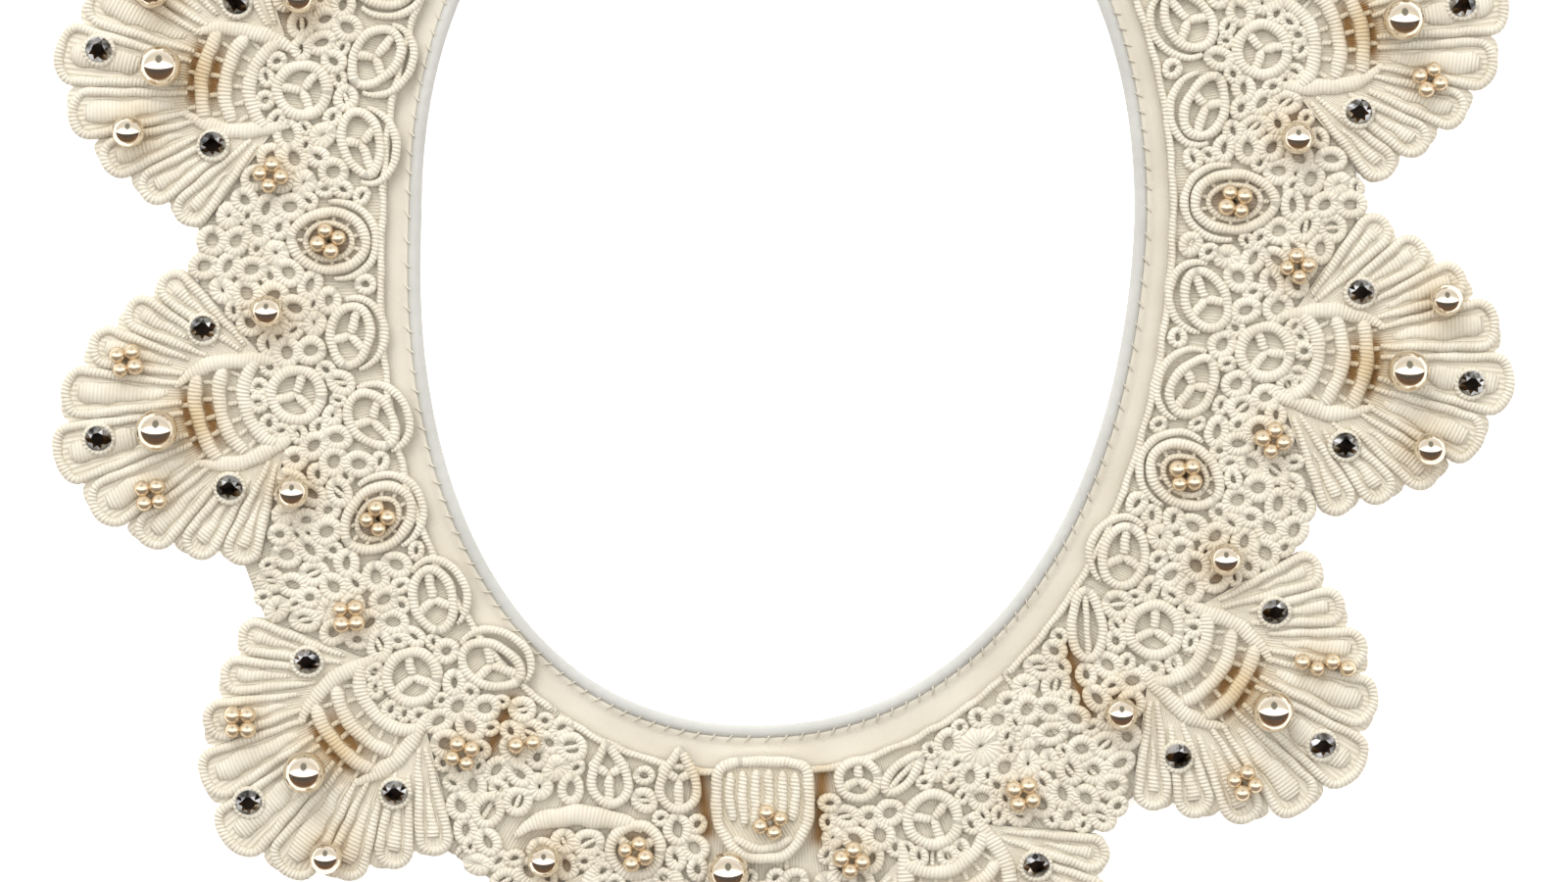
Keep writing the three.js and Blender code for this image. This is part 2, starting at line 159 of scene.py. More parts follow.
# Wheels that differ: centre, half length and width, how they turn, and the way one spoke points
OTHER_WHEELS = {
    "front_left": [
        {"x": -25.5, "y": -84.4, "long": 4.5, "wide": 3.2, "turn": 97, "outward": 270, "point": 0.75},
        {"x": -15.0, "y": -85.2, "long": 4.5, "wide": 3.3, "turn": 89, "outward": 270, "point": 0.85},
    ],
    "front_right": [
        {"x": 12.1, "y": -85.2, "long": 3.0, "wide": 2.85, "turn": 22, "outward": 90, "point": 0},
        {"x": 18.9, "y": -84.2, "long": 3.7, "wide": 1.7, "turn": 48, "outward": None, "point": 0.5},
    ],
    "right_5": [
        {"x": 46.6, "y": -61.8, "long": 5.2, "wide": 2.5, "turn": 93, "outward": None, "point": 0.3},
        {"x": 52.2, "y": -51.5, "long": 4.5, "wide": 3.2, "turn": 81, "outward": 325, "point": 0},
    ],
}

# The tulip-shaped motif at the centre front: half its outline, from the top edge down to the point
TULIP_X = -2.3
TULIP_Y = -81.6
TULIP_OUTLINE = [(4.6, 0.0), (7.3, 2.0), (7.9, 6.4), (7.2, 11.0), (4.4, 14.8), (1.2, 16.4)]

# The smooth satin crescent beside the tulip
CRESCENT = [(-39.8, -93.6), (-35.6, -91.3), (-29.8, -90.6), (-24.2, -91.4), (-20.4, -92.6)]
CRESCENT_HALF_WIDTH = 1.7

# Small rings whose places show plainly: centre, size and kind
PLACED_RINGS = [
    {"x": -43.8, "y": -89.8, "size": 2.7, "kind": "ring"},
    {"x": -32.7, "y": -77.3, "size": 2.0, "kind": "ring"},
    {"x": 30.5, "y": -80.2, "size": 3.6, "kind": "button"},
    {"x": -33.5, "y": -83.4, "size": 2.6, "kind": "button"},
]

# Furrows between motifs, kept clear of the filling and darkened with tan painted shade: from one end to the other
FURROWS = [
    {"from": (-40.2, -73.5), "to": (-43.6, -80.5), "half": -0.3},
    {"from": (-12.4, -80.5), "to": (-10.7, -93.0), "half": -0.5},
    {"from": (6.7, -83.5), "to": (6.2, -94.0), "half": -0.5},
    {"from": (43.6, -65.5), "to": (46.8, -75.3), "half": -0.3},
]

# The beads
PEARL_RADIUS = 3.15
PEARL_ALONG = 21.3
MEDIUM_RADIUS = 2.45
SEED_RADIUS = 1.3
STONE_RADIUS = 2.0

# The beads on each fan: kind, degrees from the axis, and millimetres from its origin
FAN_BEADS = {
    "left_3": [("stone", -2, 31.2), ("medium", 23, 26.7), ("stone", -44, 16.5), ("stone", 41, 15.8),
               ("seeds", 79, 13.7), ("medium", -24, 26.7), ("medium", -80, 13.7)],
    "left_4": [("stone", -2, 30.5), ("seeds", -26, 26.0), ("seeds", 20, 26.5), ("stone", -50, 17.1),
               ("stone", 40, 17.3), ("medium", -86, 13.2), ("medium", 74, 14.7)],
    "left_5": [("stone", -4, 31.0), ("seeds", -27, 26.7), ("medium", 23, 29.9), ("stone", -50, 16.0),
               ("stone", 40, 17.7), ("seeds", -86, 13.3), ("seeds", 82, 13.7), ("pair", 108, 19.7)],
    "front_left": [("stone", 0, 31.0), ("seeds", -25, 26.5), ("medium", 24, 27.0), ("stone", -44, 17.0),
                   ("stone", 44, 17.0), ("medium", -81, 13.8), ("seeds", 0, 0.4)],
    "front_right": [("stone", 0, 31.0), ("medium", -24, 27.0), ("seeds", 25, 26.5), ("stone", 44, 17.0),
                    ("stone", -44, 17.0), ("seeds", 84, 14.1), ("seeds", -86, 13.7)],
    "right_5": [("stone", 0, 30.7), ("row", 23, 26.1), ("seeds", -25, 26.6), ("stone", 43, 18.3),
                ("stone", -45, 19.4), ("medium", 80, 15.0), ("medium", -78, 13.5)],
    "right_4": [("stone", -1, 31.3), ("medium", 24, 28.0), ("medium", -23, 28.5), ("stone", 40, 16.8),
                ("stone", -42, 18.5), ("seeds", 78, 13.7), ("seeds", -78, 13.4)],
    "right_3": [("stone", 1, 30.8), ("seeds", -22, 25.5), ("medium", 24, 27.5), ("stone", -45, 17.3),
                ("stone", 44, 17.0), ("medium", -81, 14.4), ("seeds", 80, 13.7)],
    "back": [("stone", 0, 31.0), ("seeds", -24, 26.5), ("medium", 24, 27.0), ("stone", -44, 17.0),
             ("stone", 44, 17.0), ("seeds", 80, 13.7)],
}
TULIP_SEEDS = (-1.2, -91.5)

# The closure at the centre back
BUTTON_X = -4.1
BUTTON_Y = 73.6
BUTTON_RADIUS = 2.6
BUTTON_SHANK = 0.8
BUTTON_SHANK_HEIGHT = 1.45
BUTTON_DOME = 1.6
LOOP_STRAIGHT_X = 2.7
LOOP_RADIUS = 0.5
LOOP_CLEARANCE = 0.35
LOOP_END_X = 5.4
SEAM = 0.3

# The sky: from the near horizon at -1 over the middle at 0 to the far horizon at 1, and its dark slot
SKY = [(-1.0, (0.16, 0.1, 0.05)), (-0.97, (0.05, 0.024, 0.008)), (-0.72, (0.045, 0.02, 0.007)),
       (-0.68, (0.018, 0.013, 0.01)), (-0.42, (0.018, 0.013, 0.01)), (-0.35, (0.08, 0.04, 0.015)),
       (-0.3, (1, 1, 1)), (0.36, (1, 1, 1)), (0.44, (0.44, 0.42, 0.38)), (0.9, (0.36, 0.34, 0.31)),
       (1.0, (0.45, 0.45, 0.45))]
SKY_STRENGTH = 2.2
SLOT_MIDDLE = 0.95
SLOT_HALF_LENGTH = 0.8
SLOT_HALF_WIDTH = 0.42

# The photograph: where the middle of the neck opening lies in it, and its scale
PHOTO_WIDTH = 1600
PHOTO_HEIGHT = 900
NECK_MIDDLE_PIXEL = (794, 220)
MILLIMETRES_PER_PIXEL = 0.148


# Places on the collar

def power(value, exponent):
    return np.sign(value) * np.abs(value) ** exponent


def neck_point(turn):
    """Points of the neck edge, going from the centre back round the right side."""
    angle = math.pi / 2 - 2 * math.pi * np.asarray(turn, float)
    exponent = 2 / NECK_ROUNDNESS
    reach = np.where(np.sin(angle) > 0, NECK_BACK, NECK_FRONT)
    y = reach * power(np.sin(angle), exponent)
    x = NECK_HALF_WIDTH * power(np.cos(angle), exponent) + NECK_LEAN * np.minimum(y, 0)
    return np.stack([x, y], axis=-1)


def band_point(turn, distance):
    """Points at a distance outside the neck edge."""
    turn = np.asarray(turn, float)
    step = 0.002
    along = neck_point(turn + step) - neck_point(turn - step)
    along = along / np.linalg.norm(along, axis=-1, keepdims=True)
    out = np.stack([-along[..., 1], along[..., 0]], axis=-1)
    return neck_point(turn) + out * np.asarray(distance, float)[..., None]


def lace_inner(turn):
    frontness = 0.5 - 0.5 * np.cos(2 * math.pi * np.asarray(turn, float))
    return LACE_INNER_SIDE + (LACE_INNER_FRONT - LACE_INNER_SIDE) * frontness**2


def origin(fan):
    return np.array([fan["x"], fan["y"]])


def turned(place, angle):
    x, y = place
    return np.array([x * math.cos(angle) - y * math.sin(angle), x * math.sin(angle) + y * math.cos(angle)])


def fan_polar(fan, degrees, radius):
    angle = np.radians(fan["axis"] + np.asarray(degrees, float))
    return np.stack([fan["x"] + radius * np.cos(angle), fan["y"] + radius * np.sin(angle)], axis=-1)


def fan_place(fan, along, across):
    return origin(fan) + turned((along, across), math.radians(fan["axis"]))


def fan_coordinates(fan, xy):
    """The radius and the degrees from the axis of points about a fan's origin."""
    offset = np.asarray(xy) - origin(fan)
    radius = np.linalg.norm(offset, axis=-1)
    degrees = np.degrees(np.arctan2(offset[..., 1], offset[..., 0])) - fan["axis"]
    return radius, (degrees + 180) % 360 - 180


def fan_valley(degrees):
    return FAN_FLANK + FAN_TIP * np.cos(np.radians(1.5 * np.asarray(degrees, float))) ** 2


def petal_edges(index):
    middle = PETALS[index]["middle"]
    low = -FAN_HALF_ANGLE if index == 0 else (PETALS[index - 1]["middle"] + middle) / 2
    last = index == len(PETALS) - 1
    high = FAN_HALF_ANGLE if last else (PETALS[index + 1]["middle"] + middle) / 2
    return low, high


def petal_lobe(index):
    return MIDDLE_LOBE if PETALS[index]["middle"] == 0 else LOBE


def frame_shift():
    """How far the frame's origin lies from the middle of the neck opening, in metres."""
    low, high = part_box("pearl_left_4")
    place = fan_place(FANS["left_4"], PEARL_ALONG, 0) / 1000
    return np.array([(low.x + high.x) / 2 - place[0], (low.y + high.y) / 2 - place[1], 0.0])


SHIFT = frame_shift()


def smoothstep(low, high, value):
    share = np.clip((value - low) / (high - low), 0, 1)
    return share * share * (3 - 2 * share)


def tan_shade_at(xy):
    """How much tan painted shade the thread gets: most between the arcs next to each large pearl, some beside the
    smaller beads and seed clusters, round the rosettes and along the furrows.
    """
    xy = np.asarray(xy, float).reshape(-1, 2)
    shade_amount = np.zeros(len(xy))
    for name, fan in FANS.items():
        axis = math.radians(fan["axis"])
        offset = xy - fan_place(fan, 15.6, 0)
        along = offset @ np.array([math.cos(axis), math.sin(axis)])
        across = offset @ np.array([-math.sin(axis), math.cos(axis)])
        shade_amount = np.maximum(shade_amount, np.exp(-((along / 3.6) ** 2) - (across / 5.0) ** 2))
        # Painted shade under each pearl and seed cluster, set a little toward the fan's origin.
        for kind, degrees, radius in FAN_BEADS.get(name, FAN_BEADS["back"]):
            if kind == "stone":
                continue
            strength, reach = (0.6, 4.0) if kind == "medium" else (0.5, 3.0)
            near = np.linalg.norm(xy - fan_polar(fan, degrees, radius - 1.0), axis=1)
            shade_amount = np.maximum(shade_amount, strength * np.exp(-((near / reach) ** 2)))
    for ring in ROSETTES:
        near = np.linalg.norm(xy - [ring["x"], ring["y"]], axis=1)
        shade_amount = np.maximum(shade_amount, 0.6 * np.exp(-((near / 3.4) ** 2)))
    # The furrows' tan painted shade stands in for the shadow along each seam.
    for furrow in FURROWS:
        near = line_distance(xy, furrow["from"], furrow["to"])
        shade_amount = np.maximum(shade_amount, 0.6 * np.exp(-((near / 1.5) ** 2)))
    return shade_amount


def line_distance(xy, start, end):
    """How far places lie from a straight line between two points."""
    start = np.array(start)
    span = np.array(end) - start
    share = np.clip((xy - start) @ span / (span @ span), 0, 1)
    return np.linalg.norm(xy - start - share[:, None] * span, axis=1)


# Mesh making

class Needlework:
    """The points and faces of one piece, gathered from many small shapes."""

    def __init__(self):
        self.points = []
        self.quads = []
        self.triangles = []
        self.threads = []
        self.gaps = []
        self.count = 0

    def add(self, points, quads=None, triangles=None, threads=None, gaps=None):
        """Takes millimetre points, faces, thread coordinates and how far each point lies down in a hollow, which sets
        its painted hollow shade.
        """
        points = np.asarray(points, float).reshape(-1, 3)
        size = len(points)
        if quads is not None:
            self.quads.append(np.asarray(quads, int).reshape(-1, 4) + self.count)
        if triangles is not None:
            self.triangles.append(np.asarray(triangles, int).reshape(-1, 3) + self.count)
        self.points.append(points)
        self.threads.append(np.zeros((size, 2)) if threads is None else np.asarray(threads, float).reshape(-1, 2))
        self.gaps.append(np.zeros(size) if gaps is None else np.asarray(gaps, float).reshape(-1))
        self.count += size

    def piece(self, name, material, slot, smooth=True):
        points = np.concatenate(self.points)
        quads = np.concatenate(self.quads) if self.quads else np.zeros((0, 4), int)
        triangles = np.concatenate(self.triangles) if self.triangles else np.zeros((0, 3), int)
        corners = np.concatenate([quads.ravel(), triangles.ravel()])
        starts = np.concatenate([np.arange(len(quads)) * 4, quads.size + np.arange(len(triangles)) * 3])
        mesh = bpy.data.meshes.new(name)
        mesh.vertices.add(len(points))
        mesh.vertices.foreach_set("co", (points / 1000 + SHIFT).astype(np.float32).ravel())
        mesh.loops.add(len(corners))
        mesh.loops.foreach_set("vertex_index", corners.astype(np.int32))
        mesh.polygons.add(len(starts))
        mesh.polygons.foreach_set("loop_start", starts.astype(np.int32))
        mesh.polygons.foreach_set("use_smooth", np.full(len(starts), smooth))
        mesh.update(calc_edges=True)
        layer = mesh.uv_layers.new(name="thread")
        layer.data.foreach_set("uv", np.concatenate(self.threads)[corners].astype(np.float32).ravel())
        # Each point's painted hollow shade and tan painted shade, for the thread materials.
        for label, values in (("hollow_shade", np.concatenate(self.gaps)), ("tan_shade", tan_shade_at(points[:, :2]))):
            attribute = mesh.attributes.new(label, "FLOAT", "POINT")
            attribute.data.foreach_set("value", values.astype(np.float32))
        mesh.validate()
        obj = bpy.data.objects.new(name, mesh)
        bpy.context.scene.collection.objects.link(obj)
        mesh.materials.append(material)
        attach(obj, "root")
        return obj


def resample(path, step, closed):
    """The path as evenly spaced points."""
    path = np.asarray(path, float)
    whole = np.vstack([path, path[:1]]) if closed else path
    lengths = np.linalg.norm(np.diff(whole, axis=0), axis=1)
    along = np.concatenate([[0], np.cumsum(lengths)])
    count = max(3, int(round(along[-1] / step)))
    wanted = np.linspace(0, along[-1], count + 1)
    if closed:
        wanted = wanted[:-1]
    return np.stack([np.interp(wanted, along, whole[:, k]) for k in range(whole.shape[1])], axis=1)


def curve(points, count=40):
    """A smooth open curve through points."""
    points = np.asarray(points, float)
    ends = np.vstack([2 * points[0] - points[1], points, 2 * points[-1] - points[-2]])
    spans = len(points) - 1
    result = []
    for share in np.linspace(0, spans, count):
        k = min(int(share), spans - 1)
        t = share - k
        a, b, c, d = ends[k:k + 4]
        result.append(0.5 * (2 * b + (c - a) * t + (2 * a - 5 * b + 4 * c - d) * t**2
                             + (3 * b - a - 3 * c + d) * t**3))
    return np.array(result)


def ring_faces(rings, sides, closed):
    """Faces between rings of points, each ring going round a cord."""
    last = rings if closed else rings - 1
    i = np.arange(last)[:, None]
    k = np.arange(sides)[None, :]
    there = (i + 1) % rings
    after = (k + 1) % sides
    corners = [i * sides + k, i * sides + after, there * sides + after, there * sides + k]
    return np.stack(np.broadcast_arrays(*corners), axis=-1).reshape(-1, 4)


def cap_faces(start, sides, backward):
    """The end of a cord as four-cornered faces, for an even number of sides."""
    faces = np.array([[k, k + 1, sides - 2 - k, sides - 1 - k] for k in range(sides // 2 - 1)]) + start
    return faces[:, ::-1] if backward else faces


def cord(work, path, height, size=CORD, closed=False, sides=8, step=None, swell=None, root=CORD_ROOT):
    """A wrapped cord along a path in the plane. height is its middle's height, or gives it at each point,
    and root is how far down its lower half reaches."""
    path = resample(path, step or CORD_STEP, closed)
    count = len(path)
    if closed:
        tangent = np.roll(path, -1, axis=0) - np.roll(path, 1, axis=0)
    else:
        tangent = np.gradient(path, axis=0)
    tangent = tangent / np.maximum(np.linalg.norm(tangent, axis=1, keepdims=True), 1e-9)
    side = np.stack([-tangent[:, 1], tangent[:, 0]], axis=1)
    middle = height(path) if callable(height) else np.full(count, float(height))
    if swell is not None:
        full = np.interp(np.linspace(0, 1, count), np.linspace(0, 1, len(swell)), swell)
    elif closed:
        full = np.ones(count)
    else:
        ends = np.minimum(np.arange(count), np.arange(count)[::-1])
        full = np.where(ends == 0, 0.5, np.where(ends == 1, 0.92, 1.0))
    turn = 2 * math.pi * np.arange(count) / count
    start = chance.uniform(0, 2 * math.pi)
    slow, quick = max(2, count // 9), max(3, count // 5)
    uneven = np.sin(slow * turn + start) + 0.7 * np.sin(quick * turn + 2 * start)
    full = full * (1 + UNEVEN_WIDTH * uneven)
    path = path + side * (UNEVEN_PATH * size[0] * np.roll(uneven, count // 4))[:, None]
    angle = 2 * math.pi * np.arange(sides) / sides
    out = full[:, None] * size[0] * np.cos(angle)[None, :]
    rise = np.sin(angle)[None, :]
    depth = size[1] * full if root is None else np.maximum(middle - root, size[1] * full)
    up = np.where(rise > 0, size[1] * full[:, None] * rise, depth[:, None] * rise)
    xy = path[:, None, :] + side[:, None, :] * out[..., None]
    points = np.concatenate([xy, (middle[:, None] + up)[..., None]], axis=2)
    steps = np.linalg.norm(np.diff(path, axis=0), axis=1)
    along = np.concatenate([[0], np.cumsum(steps)])
    threads = np.stack(np.broadcast_arrays(along[:, None], angle[None, :] / (2 * math.pi)), axis=-1)
    faces = ring_faces(count, sides, closed)
    if not closed:
        faces = np.vstack([faces, cap_faces(0, sides, True), cap_faces((count - 1) * sides, sides, False)])
    work.add(points, faces, threads=threads)


def oval_arc(centre, half_long, half_wide, degrees, angle):
    turn = math.radians(degrees)
    x = half_long * np.cos(angle)
    y = half_wide * np.sin(angle)
    across = x * math.cos(turn) - y * math.sin(turn)
    return np.stack([across, x * math.sin(turn) + y * math.cos(turn)], axis=1) + centre


def oval(centre, half_long, half_wide, degrees, count=32):
    return oval_arc(centre, half_long, half_wide, degrees, np.linspace(0, 2 * math.pi, count, endpoint=False))


def closed_wall(work, top, bottom, threads, gaps):
    """A closed wall from a grid of top points, with plain sides and a flat underside."""
    rows, columns, _ = top.shape
    index = np.arange(rows * columns).reshape(rows, columns)
    upper = np.stack([index[:-1, :-1], index[:-1, 1:], index[1:, 1:], index[1:, :-1]], axis=-1).reshape(-1, 4)
    under = np.concatenate([top[0], top[-1]])
    under[:, 2] = bottom
    low_first = rows * columns + np.arange(columns)
    low_last = low_first + columns
    sides = [
        np.stack([index[0, 1:], index[0, :-1], low_first[:-1], low_first[1:]], axis=1),
        np.stack([index[-1, :-1], index[-1, 1:], low_last[1:], low_last[:-1]], axis=1),
        np.stack([low_first[1:], low_first[:-1], low_last[:-1], low_last[1:]], axis=1),
    ]
    ends = []
    for column, backward in ((0, True), (columns - 1, False)):
        edge = index[:, column]
        corner = low_first[column]
        fan_of = [[corner, edge[k], edge[k + 1]] for k in range(rows - 1)]
        fan_of.append([corner, edge[-1], low_last[column]])
        fan_of = np.array(fan_of)
        ends.append(fan_of[:, ::-1] if backward else fan_of)
    quads = np.vstack([upper, *sides])
    triangles = np.vstack(ends)
    if np.cross(top[0, 1, :2] - top[0, 0, :2], top[1, 0, :2] - top[0, 0, :2]) < 0:
        quads = quads[:, ::-1]
        triangles = triangles[:, ::-1]
    points = np.concatenate([top.reshape(-1, 3), under])
    all_threads = np.concatenate([threads.reshape(-1, 2), np.zeros((len(under), 2))])
    all_gaps = np.concatenate([gaps.ravel(), np.zeros(len(under))])
    work.add(points, quads, triangles, all_threads, all_gaps)


# The motifs' places

def wheel_rings():
    rings = {}
    for name, fan in FANS.items():
        if name in OTHER_WHEELS:
            rings[name] = OTHER_WHEELS[name]
            continue
        rings[name] = []
        for side, turn in zip((-1, 1), WHEEL_TURNS):
            x, y = fan_place(fan, WHEEL_ALONG, side * WHEEL_ACROSS)
            rings[name].append({
                "x": x, "y": y, "long": WHEEL_LONG * chance.uniform(0.96, 1.06),
                "wide": WHEEL_WIDE * chance.uniform(0.94, 1.06), "point": chance.uniform(0.1, 0.35),
                "turn": fan["axis"] + turn + chance.uniform(-7, 7), "outward": fan["axis"],
            })
    return rings


def rosette_rings():
    """The oval rosettes between neighbouring fans of one length of lace."""
    names = list(FANS)
    rings = []
    for name, after in zip(names, names[1:]):
        if FANS[name]["piece"] == FANS[after]["piece"]:
            middle = (origin(FANS[name]) + origin(FANS[after])) / 2
            length = np.linalg.norm(middle)
            x, y = middle * (length - ROSETTE_TOWARD_NECK) / length
            rings.append({
                "x": x, "y": y, "long": ROSETTE_LONG * chance.uniform(0.95, 1.04), "piece": FANS[name]["piece"],
                "wide": ROSETTE_WIDE * chance.uniform(0.96, 1.05), "point": 0.12,
                "turn": math.degrees(math.atan2(y, x)) + chance.uniform(-8, 8)})
    return rings


def wheel_path(ring):
    """A wheel's ring, which may be drawn out to a point at one end."""
    angle = np.linspace(0, 2 * math.pi, 40, endpoint=False)
    pinch = 1 - ring["point"] * (0.5 + 0.5 * np.cos(angle)) ** 2
    x = ring["long"] * np.cos(angle)
    y = ring["wide"] * np.sin(angle) * pinch
    turn = math.radians(ring["turn"])
    across = x * math.cos(turn) - y * math.sin(turn)
    return np.stack([across + ring["x"], x * math.sin(turn) + y * math.cos(turn) + ring["y"]], axis=1)


def wheel_arc(ring):
    """The arc on the neck side of a wheel."""
    centre = np.array([ring["x"], ring["y"]])
    toward_neck = math.atan2(-centre[1], -centre[0]) - math.radians(ring["turn"])
    share = np.linspace(-1, 1, 26)
    apart = 1 - 0.4 * np.abs(share) ** 3
    angle = toward_neck + ARC_REACH * share
    return oval_arc(centre, ring["long"] + 1.6 * apart, ring["wide"] + 2.1 * apart, ring["turn"], angle)


def has_arc(ring):
    return ring not in OTHER_WHEELS["front_left"] + OTHER_WHEELS["front_right"] + OTHER_WHEELS["right_5"][:1]


WHEELS = wheel_rings()
ROSETTES = rosette_rings()


def oval_distance(ring, xy):
    """Roughly how far places lie outside an oval ring."""
    turn = math.radians(ring["turn"])
    offset = xy - [ring["x"], ring["y"]]
    along = offset @ np.array([math.cos(turn), math.sin(turn)])
    across = offset @ np.array([-math.sin(turn), math.cos(turn)])
    share = np.hypot(along / ring["long"], across / ring["wide"])
    return (share - 1) * np.hypot(along, across) / np.maximum(share, 1e-6)


def path_distance(xy, path):
    return np.min([np.linalg.norm(xy - place, axis=1) for place in path], axis=0)


def clear_room(xy, distance, turns):
    """How far places lie from the nearest larger motif or edge: less than nothing inside one."""
    room = np.minimum(distance - lace_inner(turns) - 1.0, LACE_OUTER + NET_OVERHANG - distance)
    ends = np.minimum(turns - LENGTHS["lace_right"][0], LENGTHS["lace_left"][1] - turns)
    room = np.minimum(room, ends * (NECK_EDGE + 2 * math.pi * distance) - 0.2)
    for name, fan in FANS.items():
        radius, degrees = fan_coordinates(fan, xy)
        beyond = np.radians(np.abs(degrees) - FAN_HALF_ANGLE)
        flank = np.where(beyond < math.pi / 2, radius * np.sin(beyond), radius)
        room = np.minimum(room, np.where((radius > 6) & (radius < 42), flank + 0.25, 50))
        room = np.minimum(room, radius - HUB_RADIUS - 0.4)
    wheels = [ring for name in FANS for ring in WHEELS[name]]
    for ring in wheels + ROSETTES:
        outside = oval_distance(ring, xy)
        room = np.minimum(room, outside - 0.3)
        if has_arc(ring):
            close = outside < 6
            room[close] = np.minimum(room[close], path_distance(xy[close], wheel_arc(ring)) - 0.2)
    for furrow in FURROWS:
        room = np.minimum(room, line_distance(xy, furrow["from"], furrow["to"]) - furrow["half"])
    room = np.minimum(room, path_distance(xy, curve(CRESCENT, 16)) - CRESCENT_HALF_WIDTH)
    across = np.abs(xy[:, 0] - TULIP_X) - 8.0
    down = np.maximum(TULIP_Y - 16.6 - xy[:, 1], xy[:, 1] - TULIP_Y - 0.4)
    return np.minimum(room, np.maximum(across, down))


def filling_rings():
    """Rings packed between the larger motifs, each as tight against the others as it goes."""
    turns, distance = np.meshgrid(np.arange(0.0014, 0.9986, 0.0008), np.arange(5.4, 35.2, 0.4))
    turns, distance = turns.ravel(), distance.ravel()
    xy = band_point(turns, distance)
    room = clear_room(xy, distance, turns)
    jitter = np.random.default_rng(11).uniform(0, 0.35, len(room))
    rings = {name: [] for name in LENGTHS}

    def put(place, size, kind, turn):
        name = next(name for name, span in LENGTHS.items() if turn <= span[1] + 0.0006)
        rings[name].append({
            "x": place[0], "y": place[1], "size": size, "kind": kind, "turn": chance.uniform(0, 180),
            "narrow": chance.uniform(0.76, 1.0), "lift": chance.uniform(-0.14, 0.16)})
        return np.minimum(room, np.linalg.norm(xy - place, axis=1) - size + NET_OVERLAP)

    for ring in PLACED_RINGS:
        place = np.array([ring["x"], ring["y"]])
        nearest = np.argmin(np.linalg.norm(xy - place, axis=1))
        room = put(place, ring["size"], ring["kind"], turns[nearest])
    for least in NET_SIZES:
        while True:
            fits = np.where(room >= least, room + jitter, 99)
            best = int(np.argmin(fits))
            if fits[best] > 90:
                break
            size = min(room[best], least + 0.25)
            kinds = ("ring",) * 6 + ("spoked", "button") if size > 2 else ("ring",)
            room = put(xy[best], size, chance.choice(kinds), turns[best])
    return rings


FILLING = filling_rings()


# The lace's walls

def lace_band(work, name):
    """The flat band of a length of lace, low where it is open and full along its neck side."""
    span = LENGTHS[name]
    turns = np.linspace(*span, int((span[1] - span[0]) * 900))
    shares = np.concatenate([[0, 0.012, 0.03, 0.045], np.linspace(0.07, 1, 32)])
    inner = lace_inner(turns)
    distance = inner[None, :] + (LACE_OUTER - WALL_INSET - inner)[None, :] * shares[:, None]
    xy = band_point(np.broadcast_to(turns, distance.shape), distance)
    full = 1 - smoothstep(0.75, 1.15, distance - inner[None, :])
    down = TULIP_Y - xy[..., 1]
    tulip = (np.abs(xy[..., 0] - TULIP_X) < 6.5) & (down > -3) & (down < 13)
    full = np.maximum(full, tulip)
    ripple = 0.06 * np.sin(turns * 700)[None, :] * np.sin(distance * 1.9)
    z = GAP_FLOOR + ripple + (LACE_TOP - 0.1 - GAP_FLOOR) * full
    threads = np.stack([np.broadcast_to(turns * 560, distance.shape), distance * 0.02], axis=-1)
    # The open, low parts of the band get painted hollow shade, the full parts a little.
    closed_wall(work, np.dstack([xy, z]), LACE_BOTTOM, threads, 1 - 0.7 * full)


def fan_reach(degrees):
    """How far a fan reaches at an angle, lobes and all."""
    reach = fan_valley(degrees)
    for index in range(len(PETALS)):
        low, high = petal_edges(index)
        inside = (degrees >= low) & (degrees <= high)
        across = np.clip((degrees - (low + high) / 2) / ((high - low) / 2), -1, 1)
        reach = np.where(inside, fan_valley(degrees) + petal_lobe(index) * np.sqrt(1 - across**2), reach)
    return reach


def petal_crown(degrees):
    """From 0 between petals to 1 along their middles."""
    crown = np.zeros(degrees.shape)
    for index in range(len(PETALS)):
        low, high = petal_edges(index)
        inside = (degrees >= low) & (degrees <= high)
        across = np.clip(np.abs(degrees - (low + high) / 2) / ((high - low) / 2), 0, 1)
        crown = np.where(inside, np.sqrt(1 - across**2), crown)
    return crown


def fan_wall(work, fan):
    """The wall of one fan: grooves between its arcs, smooth sides, and petals that swell and dip."""
    columns = np.linspace(-FAN_HALF_ANGLE, FAN_HALF_ANGLE, 141)
    shares = np.concatenate([np.linspace(0, 0.955, 58), [0.975, 0.99, 1.0]])
    reach = fan_reach(columns) - 0.3
    radius = ARC_START + (reach - ARC_START)[None, :] * shares[:, None]
    degrees = np.broadcast_to(columns, radius.shape)
    across = np.abs(radius * np.sin(np.radians(degrees)))
    arc_gap = np.min(np.abs(radius[..., None] - np.array(ARC_RADII)), axis=-1)
    groove = smoothstep(0.75, 1.25, arc_gap)
    groove = groove * (1 - smoothstep(ARC_HALF_LENGTH - 0.6, ARC_HALF_LENGTH + 0.5, across))
    groove = groove * (1 - smoothstep(ARC_END, ARC_END + 1.0, radius))
    petal = smoothstep(ARC_END - 0.6, ARC_END + 1.6, radius + across * 0.25 - 1.2)
    along = np.clip((radius - ARC_END) / (reach - ARC_END)[None, :], 0, 1)
    rise = np.interp(along, [0, 0.3, 0.75, 0.93, 1], [0.15, 0.3, 0.5, 0.3, -0.35])
    z = LACE_TOP + 0.2 * (1 - petal) + petal * (rise * petal_crown(degrees) - 0.12)
    z = z - 0.8 * groove
    # Painted hollow shade in the grooves between the arcs and, more lightly, on the wall under the petals.
    gaps = np.maximum(groove, 0.42 * petal * smoothstep(0.02, 0.12, 1 - along))
    threads = np.stack([np.radians(degrees) * 22, radius * 0.02], axis=-1)
    closed_wall(work, np.dstack([fan_polar(fan, degrees, radius), z]), LACE_BOTTOM, threads, gaps)


# Cords of one fan

